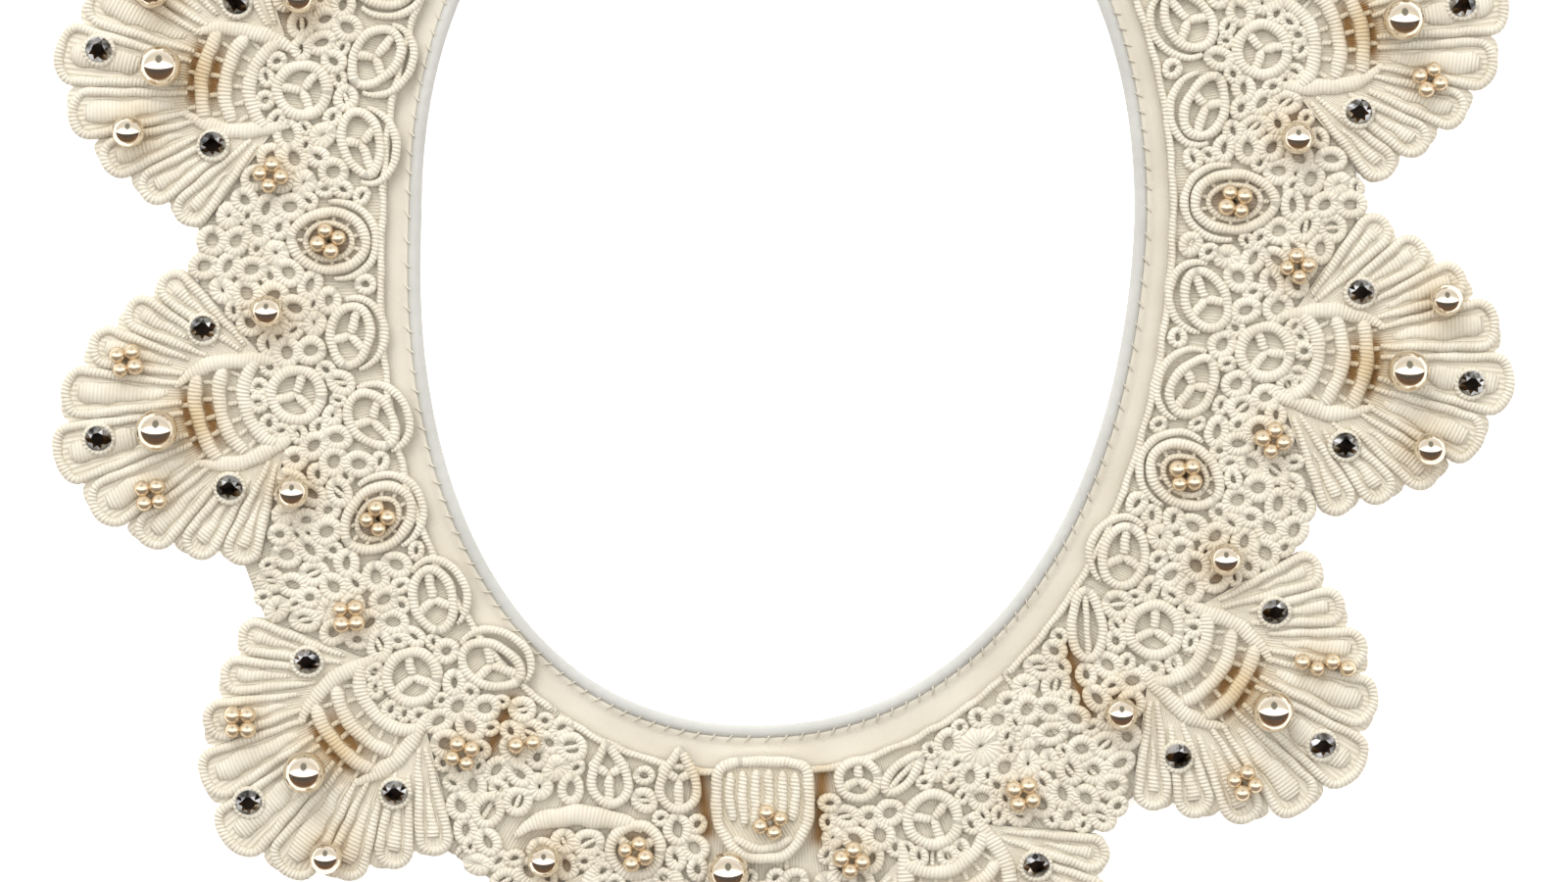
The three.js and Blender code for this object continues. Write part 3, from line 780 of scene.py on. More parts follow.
def fan_arcs(work, fan):
    for radius in ARC_RADII:
        half = math.degrees(math.asin(min(1, (ARC_HALF_LENGTH + 0.3) / radius)))
        path = fan_polar(fan, np.linspace(-half, half, 40), radius)
        cord(work, path, LACE_TOP + 0.42, BROAD_CORD, sides=10)


def arc_bars(work, fan):
    """Short bars across the gaps between the hub, the arcs and the petals."""
    stops = (HUB_RADIUS + 0.5, *ARC_RADII, ARC_END + 0.8)
    for near, far in zip(stops, stops[1:]):
        middle = (near + far) / 2
        half = math.degrees(math.asin(min(ARC_HALF_LENGTH / middle, 0.87)))
        count = int(2 * math.radians(half) * middle / BAR_PITCH)
        for k in range(count):
            degrees = half * (2 * (k + 0.5) / count - 1) + chance.uniform(-1.5, 1.5)
            path = fan_polar(fan, np.full(3, degrees), np.linspace(near, far, 3))
            cord(work, path, LACE_TOP - 0.45, BAR, sides=6, step=0.7)


def fan_sides(work, fan):
    for side in (-1, 1):
        path = np.array([fan_place(fan, along, side * across) for along, across in curve(SIDE_BAND)])
        cord(work, path, LACE_TOP + 0.3, (1.3, 0.72), sides=10, swell=[0.35, 0.8, 1, 1, 0.95, 0.7, 0.3])


def spokes(work, centre, half_long, half_wide, degrees, outward):
    """Three bars that meet in the middle of a ring, one of them pointing outward."""
    for spoke in (0, 120, 240):
        local = math.radians(outward + spoke - degrees)
        reach = 1 / math.hypot(math.cos(local) / half_long, math.sin(local) / half_wide)
        end = centre + turned((reach, 0), math.radians(outward + spoke))
        cord(work, [centre, (centre + end) / 2, end], LACE_TOP + 0.22, SPOKE, step=0.6)


def fan_hub(work, fan):
    centre = origin(fan)
    cord(work, oval(centre, HUB_RADIUS, HUB_RADIUS, 0), LACE_TOP + 0.38, (0.9, 0.62), closed=True)
    spokes(work, centre, HUB_RADIUS, HUB_RADIUS, 0, fan["axis"])


def petal_loop(work, fan, index):
    """The cord round a petal's edge, from its root round the lobe and back."""
    low, high = petal_edges(index)
    middle = (low + high) / 2
    inset = PETAL_CORD[0] + 0.06
    tip = float(fan_valley(middle)) + petal_lobe(index) - inset
    shoulder = tip - 2.3
    radii = np.linspace(PETALS[index]["root"], shoulder, 14)
    half = (high - low) / 2 - np.degrees(inset / radii)
    bend = np.radians(np.linspace(-90, 90, 17))[1:-1]
    degrees = np.concatenate([middle - half, middle + half[-1] * np.sin(bend), (middle + half)[::-1]])
    radius = np.concatenate([radii, shoulder + (tip - shoulder) * np.cos(bend), radii[::-1]])

    def height(points):
        reach, _ = fan_coordinates(fan, points)
        share = (reach - ARC_END) / (tip - ARC_END)
        return LACE_TOP + np.interp(share, [0, 0.35, 0.75, 1], [0.3, 0.42, 0.5, 0.1])

    path = fan_polar(fan, degrees, radius)
    cord(work, path, height, PETAL_CORD, swell=[0.5, 0.85, 1.0, 1.0, 1.06, 1.0, 1.0, 0.85, 0.5])


def petal_spine(work, fan, index):
    """The padded satin down the middle of a petal, which widens with the petal."""
    low, high = petal_edges(index)
    middle = (low + high) / 2
    start = PETALS[index]["spine"]
    end = float(fan_valley(middle)) + petal_lobe(index) - 2.6
    radii = np.linspace(start, end, 12)
    half = np.clip(np.radians(high - low) / 2 * radii - 2 * PETAL_CORD[0] - 0.42, 0.3, 1.75)
    widest = half.max()
    swell = np.concatenate([[0.25], half[1:-1] / widest, [0.55]])

    def height(points):
        reach, _ = fan_coordinates(fan, points)
        share = (reach - start) / (end - start)
        return LACE_TOP + np.interp(share, [0, 0.4, 0.8, 1], [0.2, 0.34, 0.42, 0.25])

    cord(work, fan_polar(fan, np.full(12, middle), radii), height, (widest, 0.72), sides=10, swell=swell)


# Wheels, rosettes and filling

def wheel(work, ring):
    centre = np.array([ring["x"], ring["y"]])
    cord(work, wheel_path(ring), LACE_TOP + 0.42, (0.76, 0.62), closed=True)
    if ring["outward"] is None:
        reach = ring["long"] - 0.3
        ends = [centre + side * turned((reach, 0), math.radians(ring["turn"])) for side in (-1, 1)]
        cord(work, [ends[0], centre, ends[1]], LACE_TOP + 0.3, (0.5, 0.5))
        return
    spokes(work, centre, ring["long"], ring["wide"], ring["turn"], ring["outward"])
    if has_arc(ring):
        neck_arc(work, ring)


def neck_arc(work, ring):
    cord(work, wheel_arc(ring), LACE_TOP + 0.25, (0.66, 0.55), swell=[0.6, 0.9, 1, 1, 1, 0.9, 0.6])


def rosette(work, ring):
    """A cord ring round a low middle with tan painted shade, with an inner ring and short bars between the two."""
    centre = np.array([ring["x"], ring["y"]])
    long, wide, degrees = ring["long"], ring["wide"], ring["turn"]
    cord(work, wheel_path(ring), LACE_TOP + 0.42, (0.8, 0.62), closed=True)
    cord(work, oval(centre, long - 2.1, wide - 1.75, degrees), LACE_TOP - 0.05, (0.5, 0.45), closed=True)
    bead_seat(work, *centre, 0.9, LACE_TOP - 0.1)
    for k in range(ROSETTE_SPOKES):
        angle = np.full(3, 2 * math.pi * k / ROSETTE_SPOKES)
        reach = np.array([2.1, 1.2, 0.3])
        path = oval_arc(centre, long - reach, wide - reach * 0.84, degrees, angle)
        cord(work, path, LACE_TOP - 0.2, (0.38, 0.34), sides=6, step=0.6)
    neck_arc(work, ring)


def net_ring(work, ring):
    centre = np.array([ring["x"], ring["y"]])
    thick = min(0.76, ring["size"] * 0.36)
    half = ring["size"] - thick
    height = LACE_TOP + 0.16 + ring["lift"]
    narrow = ring["narrow"]
    path = oval(centre, half * 1.1, half * narrow, ring["turn"], 20)
    if ring["kind"] == "button":
        reach = ring["size"] - 0.35
        path = oval(centre, reach * 0.62, reach * 0.62 * narrow, ring["turn"], 18)
        cord(work, path, height, (reach * 0.5, 0.5), closed=True, sides=8, step=0.72)
        return
    cord(work, path, height, (thick, 0.52), closed=True, step=0.55)
    if ring["kind"] == "spoked":
        ends = [centre + side * turned((half, 0), math.radians(ring["turn"] + 25)) for side in (-1, 1)]
        cord(work, [ends[0], centre, ends[1]], height - 0.1, (0.4, 0.4), sides=6)


def edge_cord(work, span):
    """The cord along the lace's neck side."""
    turns = np.linspace(span[0] + 0.001, span[1] - 0.001, int((span[1] - span[0]) * 620))
    wave = 0.12 * np.sin(turns * NECK_EDGE * 1.1)
    cord(work, band_point(turns, lace_inner(turns) + 0.55 + wave), LACE_TOP + 0.02, (0.56, 0.45), sides=6)


def seam_cord(work, name):
    """The overcast seam that joins a length of lace to the next one."""
    turn = LENGTHS[name][1] + SEAM_HALF_TURN
    distance = np.linspace(float(lace_inner(turn)) + 0.2, LACE_OUTER - WALL_INSET - 0.2, 30)
    cord(work, band_point(np.full(len(distance), turn), distance), GAP_FLOOR + 0.2, (0.5, 0.34), sides=6)


# Beads

def ball_template(rings, sides):
    """A ball of unit radius, whose thread hole lies along X."""
    polar = np.linspace(0.12, math.pi - 0.12, rings)
    angle = 2 * math.pi * np.arange(sides) / sides
    x = np.sin(polar)[:, None] * np.cos(angle)[None, :]
    y = np.sin(polar)[:, None] * np.sin(angle)[None, :]
    z = np.broadcast_to(np.cos(polar)[:, None], x.shape)
    points = np.stack([z, x, y], axis=-1).reshape(-1, 3)
    caps = [cap_faces(0, sides, True), cap_faces((rings - 1) * sides, sides, False)]
    return points, np.vstack([ring_faces(rings, sides, False), *caps])[:, ::-1]


BIG_BALL = ball_template(31, 40)
MEDIUM_BALL = ball_template(21, 28)
SMALL_BALL = ball_template(11, 16)


def bead(work, ball, x, y, z, radius, spin=0.0):
    points, faces = ball
    angle = math.radians(spin)
    around = np.array([[math.cos(angle), math.sin(angle), 0], [-math.sin(angle), math.cos(angle), 0], [0, 0, 1]])
    work.add(points @ around * radius + [x, y, z], faces)


def bead_seat(work, x, y, radius, height):
    """The thread that a bead is drawn down on: a small ring under it."""
    cord(work, oval(np.array([x, y]), radius, radius, 0, 20), height, (0.6, 0.45), closed=True)


def seed_cluster(work, centre, spin, kind, base=LACE_TOP + 0.95):
    if kind == "pair":
        offsets = [turned((side * SEED_RADIUS, 0), math.radians(10)) for side in (-1, 1)]
    elif kind == "row":
        offsets = [np.array([(k - 1.5) * SEED_RADIUS * 1.75, 0.5 * (-1) ** k]) for k in range(4)]
    else:
        offsets = [turned((SEED_RADIUS * 1.22, 0), math.radians(spin + 90 * k)) for k in range(4)]
    for offset in offsets:
        size = SEED_RADIUS * chance.uniform(0.88, 1.04)
        x, y = centre + offset
        bead(work, SMALL_BALL, x, y, base + size * 0.85, size, chance.uniform(0, 180))


def stone(work, centre):
    """A round cut stone: a flat table, large and small facets, a girdle and a plain foot."""
    spin = chance.uniform(0, 45)
    lean = (chance.uniform(-0.12, 0.12), chance.uniform(0.25, 0.36))

    def ring(radius, height, count, turn):
        angle = np.radians(spin + turn + 360 * np.arange(count) / count)
        x = radius * STONE_RADIUS * np.cos(angle)
        y = radius * STONE_RADIUS * np.sin(angle)
        return np.column_stack([x, y, height + x * lean[0] + y * lean[1]])

    rings = [ring(0.5, 1.2, 8, 0), ring(0.8, 0.85, 8, 22.5), ring(1.0, 0.35, 16, 0), ring(0.8, -0.6, 16, 0)]
    points = np.vstack([*rings, [[0, 0, 1.2]]]) + [centre[0], centre[1], LACE_TOP + 1.2]
    triangles = []
    quads = []
    for k in range(8):
        after = (k + 1) % 8
        low, low_next, low_after = 16 + 2 * k, 17 + 2 * k, 16 + (2 * k + 2) % 16
        triangles += [[48, k, after], [k, 8 + k, after], [8 + k, low, low_next], [8 + k, low_next, low_after]]
        triangles += [[k, low, 8 + k], [after, 8 + k, low_after]]
    for k in range(16):
        after = (k + 1) % 16
        quads.append([16 + k, 32 + k, 32 + after, 16 + after])
    work.add(points, quads, triangles)


# Materials

def new_material(name):
    material = bpy.data.materials.new(name)
    material.use_nodes = True
    nodes = material.node_tree.nodes
    return material, nodes, material.node_tree.links, nodes["Principled BSDF"]


def screen_colour(red, green, blue):
    """A colour given in screen values of 0 to 255."""
    shares = [value / 255 for value in (red, green, blue)]
    return (*[s / 12.92 if s <= 0.04045 else ((s + 0.055) / 1.055) ** 2.4 for s in shares], 1.0)


def noise_ramp(nodes, links, scale, low, high, detail=4):
    """Two colours mixed by noise in the object's own space."""
    place = nodes.new("ShaderNodeTexCoord")
    tone = nodes.new("ShaderNodeTexNoise")
    tone.inputs["Scale"].default_value = scale
    tone.inputs["Detail"].default_value = detail
    links.new(place.outputs["Object"], tone.inputs["Vector"])
    ramp = nodes.new("ShaderNodeValToRGB")
    ramp.color_ramp.elements[0].position = 0.34
    ramp.color_ramp.elements[0].color = low
    ramp.color_ramp.elements[1].position = 0.66
    ramp.color_ramp.elements[1].color = high
    links.new(tone.outputs["Fac"], ramp.inputs["Fac"])
    return ramp.outputs["Color"]


def mixed(nodes, links, factor, first, second, blend="MIX"):
    mix = nodes.new("ShaderNodeMix")
    mix.data_type = "RGBA"
    mix.blend_type = blend
    links.new(factor, mix.inputs["Factor"])
    for value, socket in ((first, mix.inputs["A"]), (second, mix.inputs["B"])):
        if isinstance(value, tuple):
            socket.default_value = value
        else:
            links.new(value, socket)
    return mix.outputs["Result"]


def attribute_of(nodes, name):
    node = nodes.new("ShaderNodeAttribute")
    node.attribute_name = name
    return node.outputs["Fac"]


def maths(nodes, links, operation, first, second=None, third=None):
    node = nodes.new("ShaderNodeMath")
    node.operation = operation
    for value, socket in zip((first, second, third), node.inputs):
        if value is None:
            continue
        if isinstance(value, (int, float)):
            socket.default_value = value
        else:
            links.new(value, socket)
    return node.outputs[0]


def bumped(nodes, links, shader, height, strength, distance):
    bump = nodes.new("ShaderNodeBump")
    bump.inputs["Strength"].default_value = strength
    bump.inputs["Distance"].default_value = distance
    links.new(height, bump.inputs["Height"])
    links.new(bump.outputs["Normal"], shader.inputs["Normal"])


def thread_material(name, light, deep, tan, hollow_shade, hollow_shade_tan, pitch):
    """Satin-stitched thread: fine ridges with painted shade in their troughs, uneven tone, painted shade in the
    hollows and tan painted shade near the pearls.
    """
    material, nodes, links, shader = new_material(name)
    thread = nodes.new("ShaderNodeUVMap")
    thread.uv_map = "thread"
    split = nodes.new("ShaderNodeSeparateXYZ")
    links.new(thread.outputs["UV"], split.inputs[0])
    around = maths(nodes, links, "MULTIPLY", split.outputs["Y"], 2 * math.pi)
    phase = maths(nodes, links, "MULTIPLY_ADD", split.outputs["X"], 2 * math.pi / pitch, around)
    wrap = maths(nodes, links, "SINE", phase)
    tone = noise_ramp(nodes, links, 240, deep, light)
    shade_amount = attribute_of(nodes, "tan_shade")
    face = mixed(nodes, links, shade_amount, tone, tan)
    strong = maths(nodes, links, "MINIMUM", maths(nodes, links, "MULTIPLY", shade_amount, 1.7), 1.0)
    # The hollows' colour is painted shade, browner where the tan painted shade is strong.
    shaded_hollow = mixed(nodes, links, strong, hollow_shade, hollow_shade_tan)
    whole = mixed(nodes, links, attribute_of(nodes, "hollow_shade"), face, shaded_hollow)
    # Painted shade between the thread wraps: the ridges' troughs are multiplied darker.
    between = maths(nodes, links, "MULTIPLY_ADD", wrap, -0.25, 0.25)
    links.new(mixed(nodes, links, between, whole, (0.76, 0.71, 0.62, 1), "MULTIPLY"), shader.inputs["Base Color"])
    bumped(nodes, links, shader, wrap, 0.55, 0.00012)
    shader.inputs["Roughness"].default_value = 0.6
    shader.inputs["Sheen Weight"].default_value = 0.12
    shader.inputs["Specular IOR Level"].default_value = 0.3
    return material


def woven_material(name, light, deep, pitch, strength):
    """Plain weave in the cloth's own plane, with slight changes of tone."""
    material, nodes, links, shader = new_material(name)
    place = nodes.new("ShaderNodeTexCoord")
    split = nodes.new("ShaderNodeSeparateXYZ")
    links.new(place.outputs["Object"], split.inputs[0])
    waves = []
    for axis in ("X", "Y"):
        phase = maths(nodes, links, "MULTIPLY", split.outputs[axis], 2 * math.pi / pitch)
        waves.append(maths(nodes, links, "SINE", phase))
    weave = maths(nodes, links, "MULTIPLY", waves[0], waves[1])
    links.new(noise_ramp(nodes, links, 80, deep, light, 6), shader.inputs["Base Color"])
    bumped(nodes, links, shader, weave, strength, 0.00005)
    shader.inputs["Roughness"].default_value = 0.85
    shader.inputs["Specular IOR Level"].default_value = 0.2
    return material


def pearl_material(name, body, shade, roughness, metallic):
    """A champagne pearl coating, glossy, its colour darkened with painted shade where it turns away."""
    material, nodes, links, shader = new_material(name)
    facing = nodes.new("ShaderNodeLayerWeight")
    facing.inputs["Blend"].default_value = 0.35
    body_and_rim_shade = mixed(nodes, links, facing.outputs["Facing"], body, shade)
    links.new(body_and_rim_shade, shader.inputs["Base Color"])
    place = nodes.new("ShaderNodeTexCoord")
    tone = nodes.new("ShaderNodeTexNoise")
    tone.inputs["Scale"].default_value = 420
    links.new(place.outputs["Object"], tone.inputs["Vector"])
    bumped(nodes, links, shader, tone.outputs["Fac"], 0.05, 0.00004)
    shader.inputs["Metallic"].default_value = metallic
    shader.inputs["Roughness"].default_value = roughness
    shader.inputs["Coat Weight"].default_value = 0.7
    shader.inputs["Coat Roughness"].default_value = 0.04
    return material


def stone_material():
    """Dark cut glass, as bright as a mirror, with a smoky change of tone."""
    material, nodes, links, shader = new_material("dark_cut_glass")
    dark = (0.05, 0.05, 0.05, 1)
    smoky = (0.5, 0.495, 0.5, 1)
    links.new(noise_ramp(nodes, links, 420, dark, smoky, 2), shader.inputs["Base Color"])
    shader.inputs["Metallic"].default_value = 1.0
    shader.inputs["Roughness"].default_value = 0.03
    return material


# The thread colours in turn: light and deep tone, tan painted shade, painted shade in the hollows, and the hollows'
# tan painted shade.
LACE_THREAD = thread_material(
    "lace_thread", screen_colour(237, 232, 218), screen_colour(224, 217, 201), screen_colour(214, 193, 157),
    screen_colour(196, 184, 160), screen_colour(170, 138, 96), 0.6)
LACE_WALL = thread_material(
    "lace_wall", screen_colour(232, 226, 211), screen_colour(221, 214, 197), screen_colour(200, 174, 132),
    screen_colour(222, 216, 201), screen_colour(146, 110, 66), 0.5)
GROUND_CLOTH = woven_material("ground_cotton", screen_colour(217, 211, 197), screen_colour(209, 202, 187), 0.0005, 0.3)
# The binding's grey-blue tone is painted shade, standing in for the soft shade along the rolled edge.
SHADED_BINDING_CLOTH = woven_material("binding_cotton", screen_colour(201, 201, 196), screen_colour(191, 191, 186), 0.0004, 0.3)
# Each pearl coating: body colour, painted rim shade, roughness and metallic.
PEARL = pearl_material("champagne_pearl", screen_colour(240, 229, 212), screen_colour(214, 196, 166), 0.1, 0.93)
SEED = pearl_material("seed_pearl", screen_colour(238, 221, 192), screen_colour(200, 167, 122), 0.26, 0.7)
STONE = stone_material()


# The pieces

def plan_squares():
    """Every square millimetre outside the neck edge: its place, nearest turn and distance from that edge."""
    turns = np.linspace(0, 1, 1200, endpoint=False)
    edge = neck_point(turns)
    x, y = np.meshgrid(np.arange(-112.0, 113.0), np.arange(-140.0, 125.0))
    xy = np.column_stack([x.ravel(), y.ravel()])
    nearest = np.array([np.argmin(np.sum((edge - place) ** 2, axis=1)) for place in xy])
    offset = xy - edge[nearest]
    outside = np.sum(offset * edge[nearest], axis=1) > 0
    return xy[outside], turns[nearest][outside], np.linalg.norm(offset, axis=1)[outside]


def cut_area(squares, fans, span, inner, outer):
    """The flat area in square metres of the band between two distances, with its fans."""
    xy, turns, distance = squares
    covered = (turns >= span[0]) & (turns <= span[1]) & (distance > inner(turns)) & (distance < outer)
    for fan in fans:
        radius, degrees = fan_coordinates(fan, xy)
        covered |= (np.abs(degrees) < FAN_HALF_ANGLE) & (radius > ARC_START) & (radius < fan_valley(degrees))
    return covered.sum() / 1e6


def ground_piece():
    work = Needlework()
    turns = np.linspace(LENGTHS["lace_right"][0], LENGTHS["lace_left"][1], 420)
    shares = np.concatenate([np.linspace(0, 0.06, 7), np.linspace(0.1, 1, 14)])
    distance = GROUND_INNER + (LACE_OUTER - GROUND_INSET - GROUND_INNER) * shares[:, None] + 0 * turns[None, :]
    xy = band_point(np.broadcast_to(turns, distance.shape), distance)
    z = GROUND_TOP - 0.05 + 0.05 * np.sin(turns * 260)[None, :] * np.sin(distance * 0.5)
    z = z + 0.42 * (1 - smoothstep(BINDING_WIDTH, BINDING_WIDTH + 1.5, distance))
    closed_wall(work, np.dstack([xy, z]), 0.03, xy, np.zeros(z.shape))
    for fan in FANS.values():
        columns = np.linspace(-FAN_HALF_ANGLE, FAN_HALF_ANGLE, 40)
        radius = 14 + (fan_valley(columns) - GROUND_INSET - 14)[None, :] * np.linspace(0, 1, 6)[:, None]
        xy = fan_polar(fan, np.broadcast_to(columns, radius.shape), radius)
        z = np.full(radius.shape, GROUND_TOP - 0.12)
        closed_wall(work, np.dstack([xy, z]), 0.03, xy, np.zeros(z.shape))
    return work.piece("ground_cloth_cotton", GROUND_CLOTH, "ground_cotton")


def binding_piece():
    """A rolled edge, round above and flat where it rests, with the slight puckers of its stitches."""
    work = Needlework()
    turns = np.linspace(LENGTHS["lace_right"][0], LENGTHS["lace_left"][1], 900)
    sides = 14
    angle = 2 * math.pi * np.arange(sides) / sides
    pucker = 1 + 0.03 * np.sin(turns * 2 * math.pi * 160) + 0.02 * np.sin(turns * 2 * math.pi * 37)
    rings = []
    for k in range(sides):
        out = BINDING_WIDTH / 2 * (1 + math.cos(angle[k]) * 0.98)
        up = BINDING_MIDDLE + 0.92 * math.sin(angle[k]) * pucker
        rings.append(np.column_stack([band_point(turns, np.full(len(turns), out)), np.maximum(up, 0.02)]))
    points = np.stack(rings, axis=1).reshape(-1, 3)
    caps = [cap_faces(0, sides, True), cap_faces((len(turns) - 1) * sides, sides, False)]
    work.add(points, np.vstack([ring_faces(len(turns), sides, False), *caps]))
    return work.piece("neck_binding_roll", SHADED_BINDING_CLOTH, "binding_cotton")


def stitch_piece():
    """Short slanting stitches that hold the binding to the ground cloth."""
    work = Needlework()
    for turn in np.arange(LENGTHS["lace_right"][0] + 0.004, LENGTHS["lace_left"][1] - 0.004, 0.0062):
        start = band_point(turn, 1.55)
        end = band_point(turn + 0.0022, 2.75)

        def height(points, start=start, end=end):
            share = np.linalg.norm(points - start, axis=1) / np.linalg.norm(end - start)
            return np.interp(share, [0, 0.5, 1], [1.74, 1.56, 1.12])

        cord(work, [start, (start + end) / 2, end], height, (0.15, 0.13), sides=6, step=0.35)
    return work.piece("neck_stitches", GROUND_CLOTH, "ground_cotton")


def lace_pieces(name):
    wall = Needlework()
    arcs = Needlework()
    petals = Needlework()
    net = Needlework()
    lace_band(wall, name)
    for fan_name, fan in FANS.items():
        if fan["piece"] != name:
            continue
        fan_wall(wall, fan)
        fan_arcs(arcs, fan)
        arc_bars(arcs, fan)
        fan_sides(arcs, fan)
        fan_hub(arcs, fan)
        for ring in WHEELS[fan_name]:
            wheel(arcs, ring)
        for index in range(len(PETALS)):
            petal_loop(petals, fan, index)
            petal_spine(petals, fan, index)
    for ring in ROSETTES:
        if ring["piece"] == name:
            rosette(arcs, ring)
    if name == "lace_front_left":
        cord(arcs, curve(CRESCENT), LACE_TOP + 0.35, (CRESCENT_HALF_WIDTH, 0.9), sides=12,
             swell=[0.3, 0.75, 1, 1, 0.85, 0.3])
    for ring in FILLING[name]:
        net_ring(net, ring)
    edge_cord(net, LENGTHS[name])
    if name != "lace_left":
        seam_cord(net, name)
    made = wall.piece(f"{name}_wall", LACE_WALL, "corded_lace")
    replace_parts(made, name)
    parts = {"cords": arcs, "petals": petals, "filling": net}
    raised = [work.piece(f"{name}_{part}", LACE_THREAD, "corded_lace") for part, work in parts.items()]
    fans = [fan for fan in FANS.values() if fan["piece"] == name]
    area = cut_area(SQUARES, fans, LENGTHS[name], lace_inner, LACE_OUTER)


def tulip_edge(inset, count=30):
    """The right and left side of the tulip's outline drawn in by a distance, from its top to its point."""
    points = [(max(across - inset, 0), min(max(down, inset), TULIP_OUTLINE[-1][1] - inset))
              for across, down in TULIP_OUTLINE]
    right = curve(points, count)
    right = np.column_stack([TULIP_X + right[:, 0], TULIP_Y - right[:, 1]])
    left = np.column_stack([2 * TULIP_X - right[:, 0], right[:, 1]])
    return right, left


def tulip_pieces():
    cloth = Needlework()
    work = Needlework()
    right, left = tulip_edge(0.3)
    shares = np.linspace(0, 1, 40)
    xy = left[:, None, :] + (right - left)[:, None, :] * shares[None, :, None]
    across = np.abs(shares - 0.5) * 2
    z = MOTIF_TOP - 0.15 - 0.25 * across[None, :] ** 4 + 0 * xy[..., 0]
    # The tulip's satin gets half of the painted hollow shade.
    closed_wall(cloth, np.dstack([xy, z]), MOTIF_BOTTOM, xy, np.full(z.shape, 0.5))
    outer_right, outer_left = tulip_edge(0.85)
    cord(work, np.vstack([outer_left, outer_right[::-1]]), MOTIF_TOP + 0.1, (0.85, 0.6), closed=True)
    for offset in (-4.9, -3.0, -1.1, 0.9, 2.9, 4.8):
        top = TULIP_Y - 1.9 - 0.12 * abs(offset)
        foot = TULIP_Y - 11.6 + 0.35 * abs(offset)
        path = [(TULIP_X + offset, top), (TULIP_X + offset * 1.03, (top + foot) / 2), (TULIP_X + offset * 0.9, foot)]
        cord(work, curve(path), MOTIF_TOP + 0.05, (0.72, 0.5))
    base = [(TULIP_X - 4.4, TULIP_Y - 12.4), (TULIP_X, TULIP_Y - 14.0), (TULIP_X + 4.4, TULIP_Y - 12.4)]
    cord(work, curve(base), MOTIF_TOP + 0.05, (0.7, 0.5))
    made = cloth.piece("centre_motif_satin", LACE_THREAD, "corded_lace")
    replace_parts(made, "centre_motif")
    cords = work.piece("centre_motif_cords", LACE_THREAD, "corded_lace")


def button_piece():
    """A small domed button on its narrow shank."""
    low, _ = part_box("back_button")
    bottom = low.z * 1000
    dome = curve([(0.85, 0.1), (1.0, 0.4), (0.93, 0.68), (0.7, 0.88), (0.38, 0.98), (0.05, 1.0)], 20)
    profile = [(BUTTON_SHANK, 0.0), (BUTTON_SHANK, BUTTON_SHANK_HEIGHT)]
    profile += [(out * BUTTON_RADIUS, BUTTON_SHANK_HEIGHT + up * BUTTON_DOME) for out, up in dome]
    angle = 2 * math.pi * np.arange(36) / 36
    rings = [np.column_stack([BUTTON_X + out * np.cos(angle), BUTTON_Y + out * np.sin(angle),
                              np.full(36, bottom + up)]) for out, up in profile]
    caps = [cap_faces(0, 36, True), cap_faces((len(rings) - 1) * 36, 36, False)]
    work = Needlework()
    work.add(np.vstack(rings), np.vstack([ring_faces(len(rings), 36, False), *caps]))
    return work.piece("back_button_dome", PEARL, "pearl")


def loop_piece():
    """The thread loop that goes round the button's shank, sewn down at both ends."""
    round_button = BUTTON_SHANK + LOOP_CLEARANCE + LOOP_RADIUS
    bend = np.linspace(math.pi / 2, 3 * math.pi / 2, 15)
    arc = np.column_stack([BUTTON_X + round_button * np.cos(bend), BUTTON_Y + round_button * np.sin(bend)])
    starts = [(LOOP_END_X, BUTTON_Y + round_button), (LOOP_STRAIGHT_X, BUTTON_Y + round_button)]
    ends = [(x, 2 * BUTTON_Y - y) for x, y in reversed(starts)]
    height = LACE_TOP + SEAM + LOOP_RADIUS
    work = Needlework()
    cord(work, np.vstack([starts, arc, ends]), height, (LOOP_RADIUS, LOOP_RADIUS), step=0.35, root=None)
    for x, y in (starts[0], ends[-1]):
        for k in range(4):
            across = x - 0.3 - 0.5 * k
            path = [(across, y - 0.85), (across, y), (across, y + 0.85)]
            cord(work, path, lambda points, y=y: height + 0.35 - 0.9 * np.abs(points[:, 1] - y), (0.2, 0.18), step=0.3)
    return work.piece("back_loop_thread", LACE_THREAD, "corded_lace")


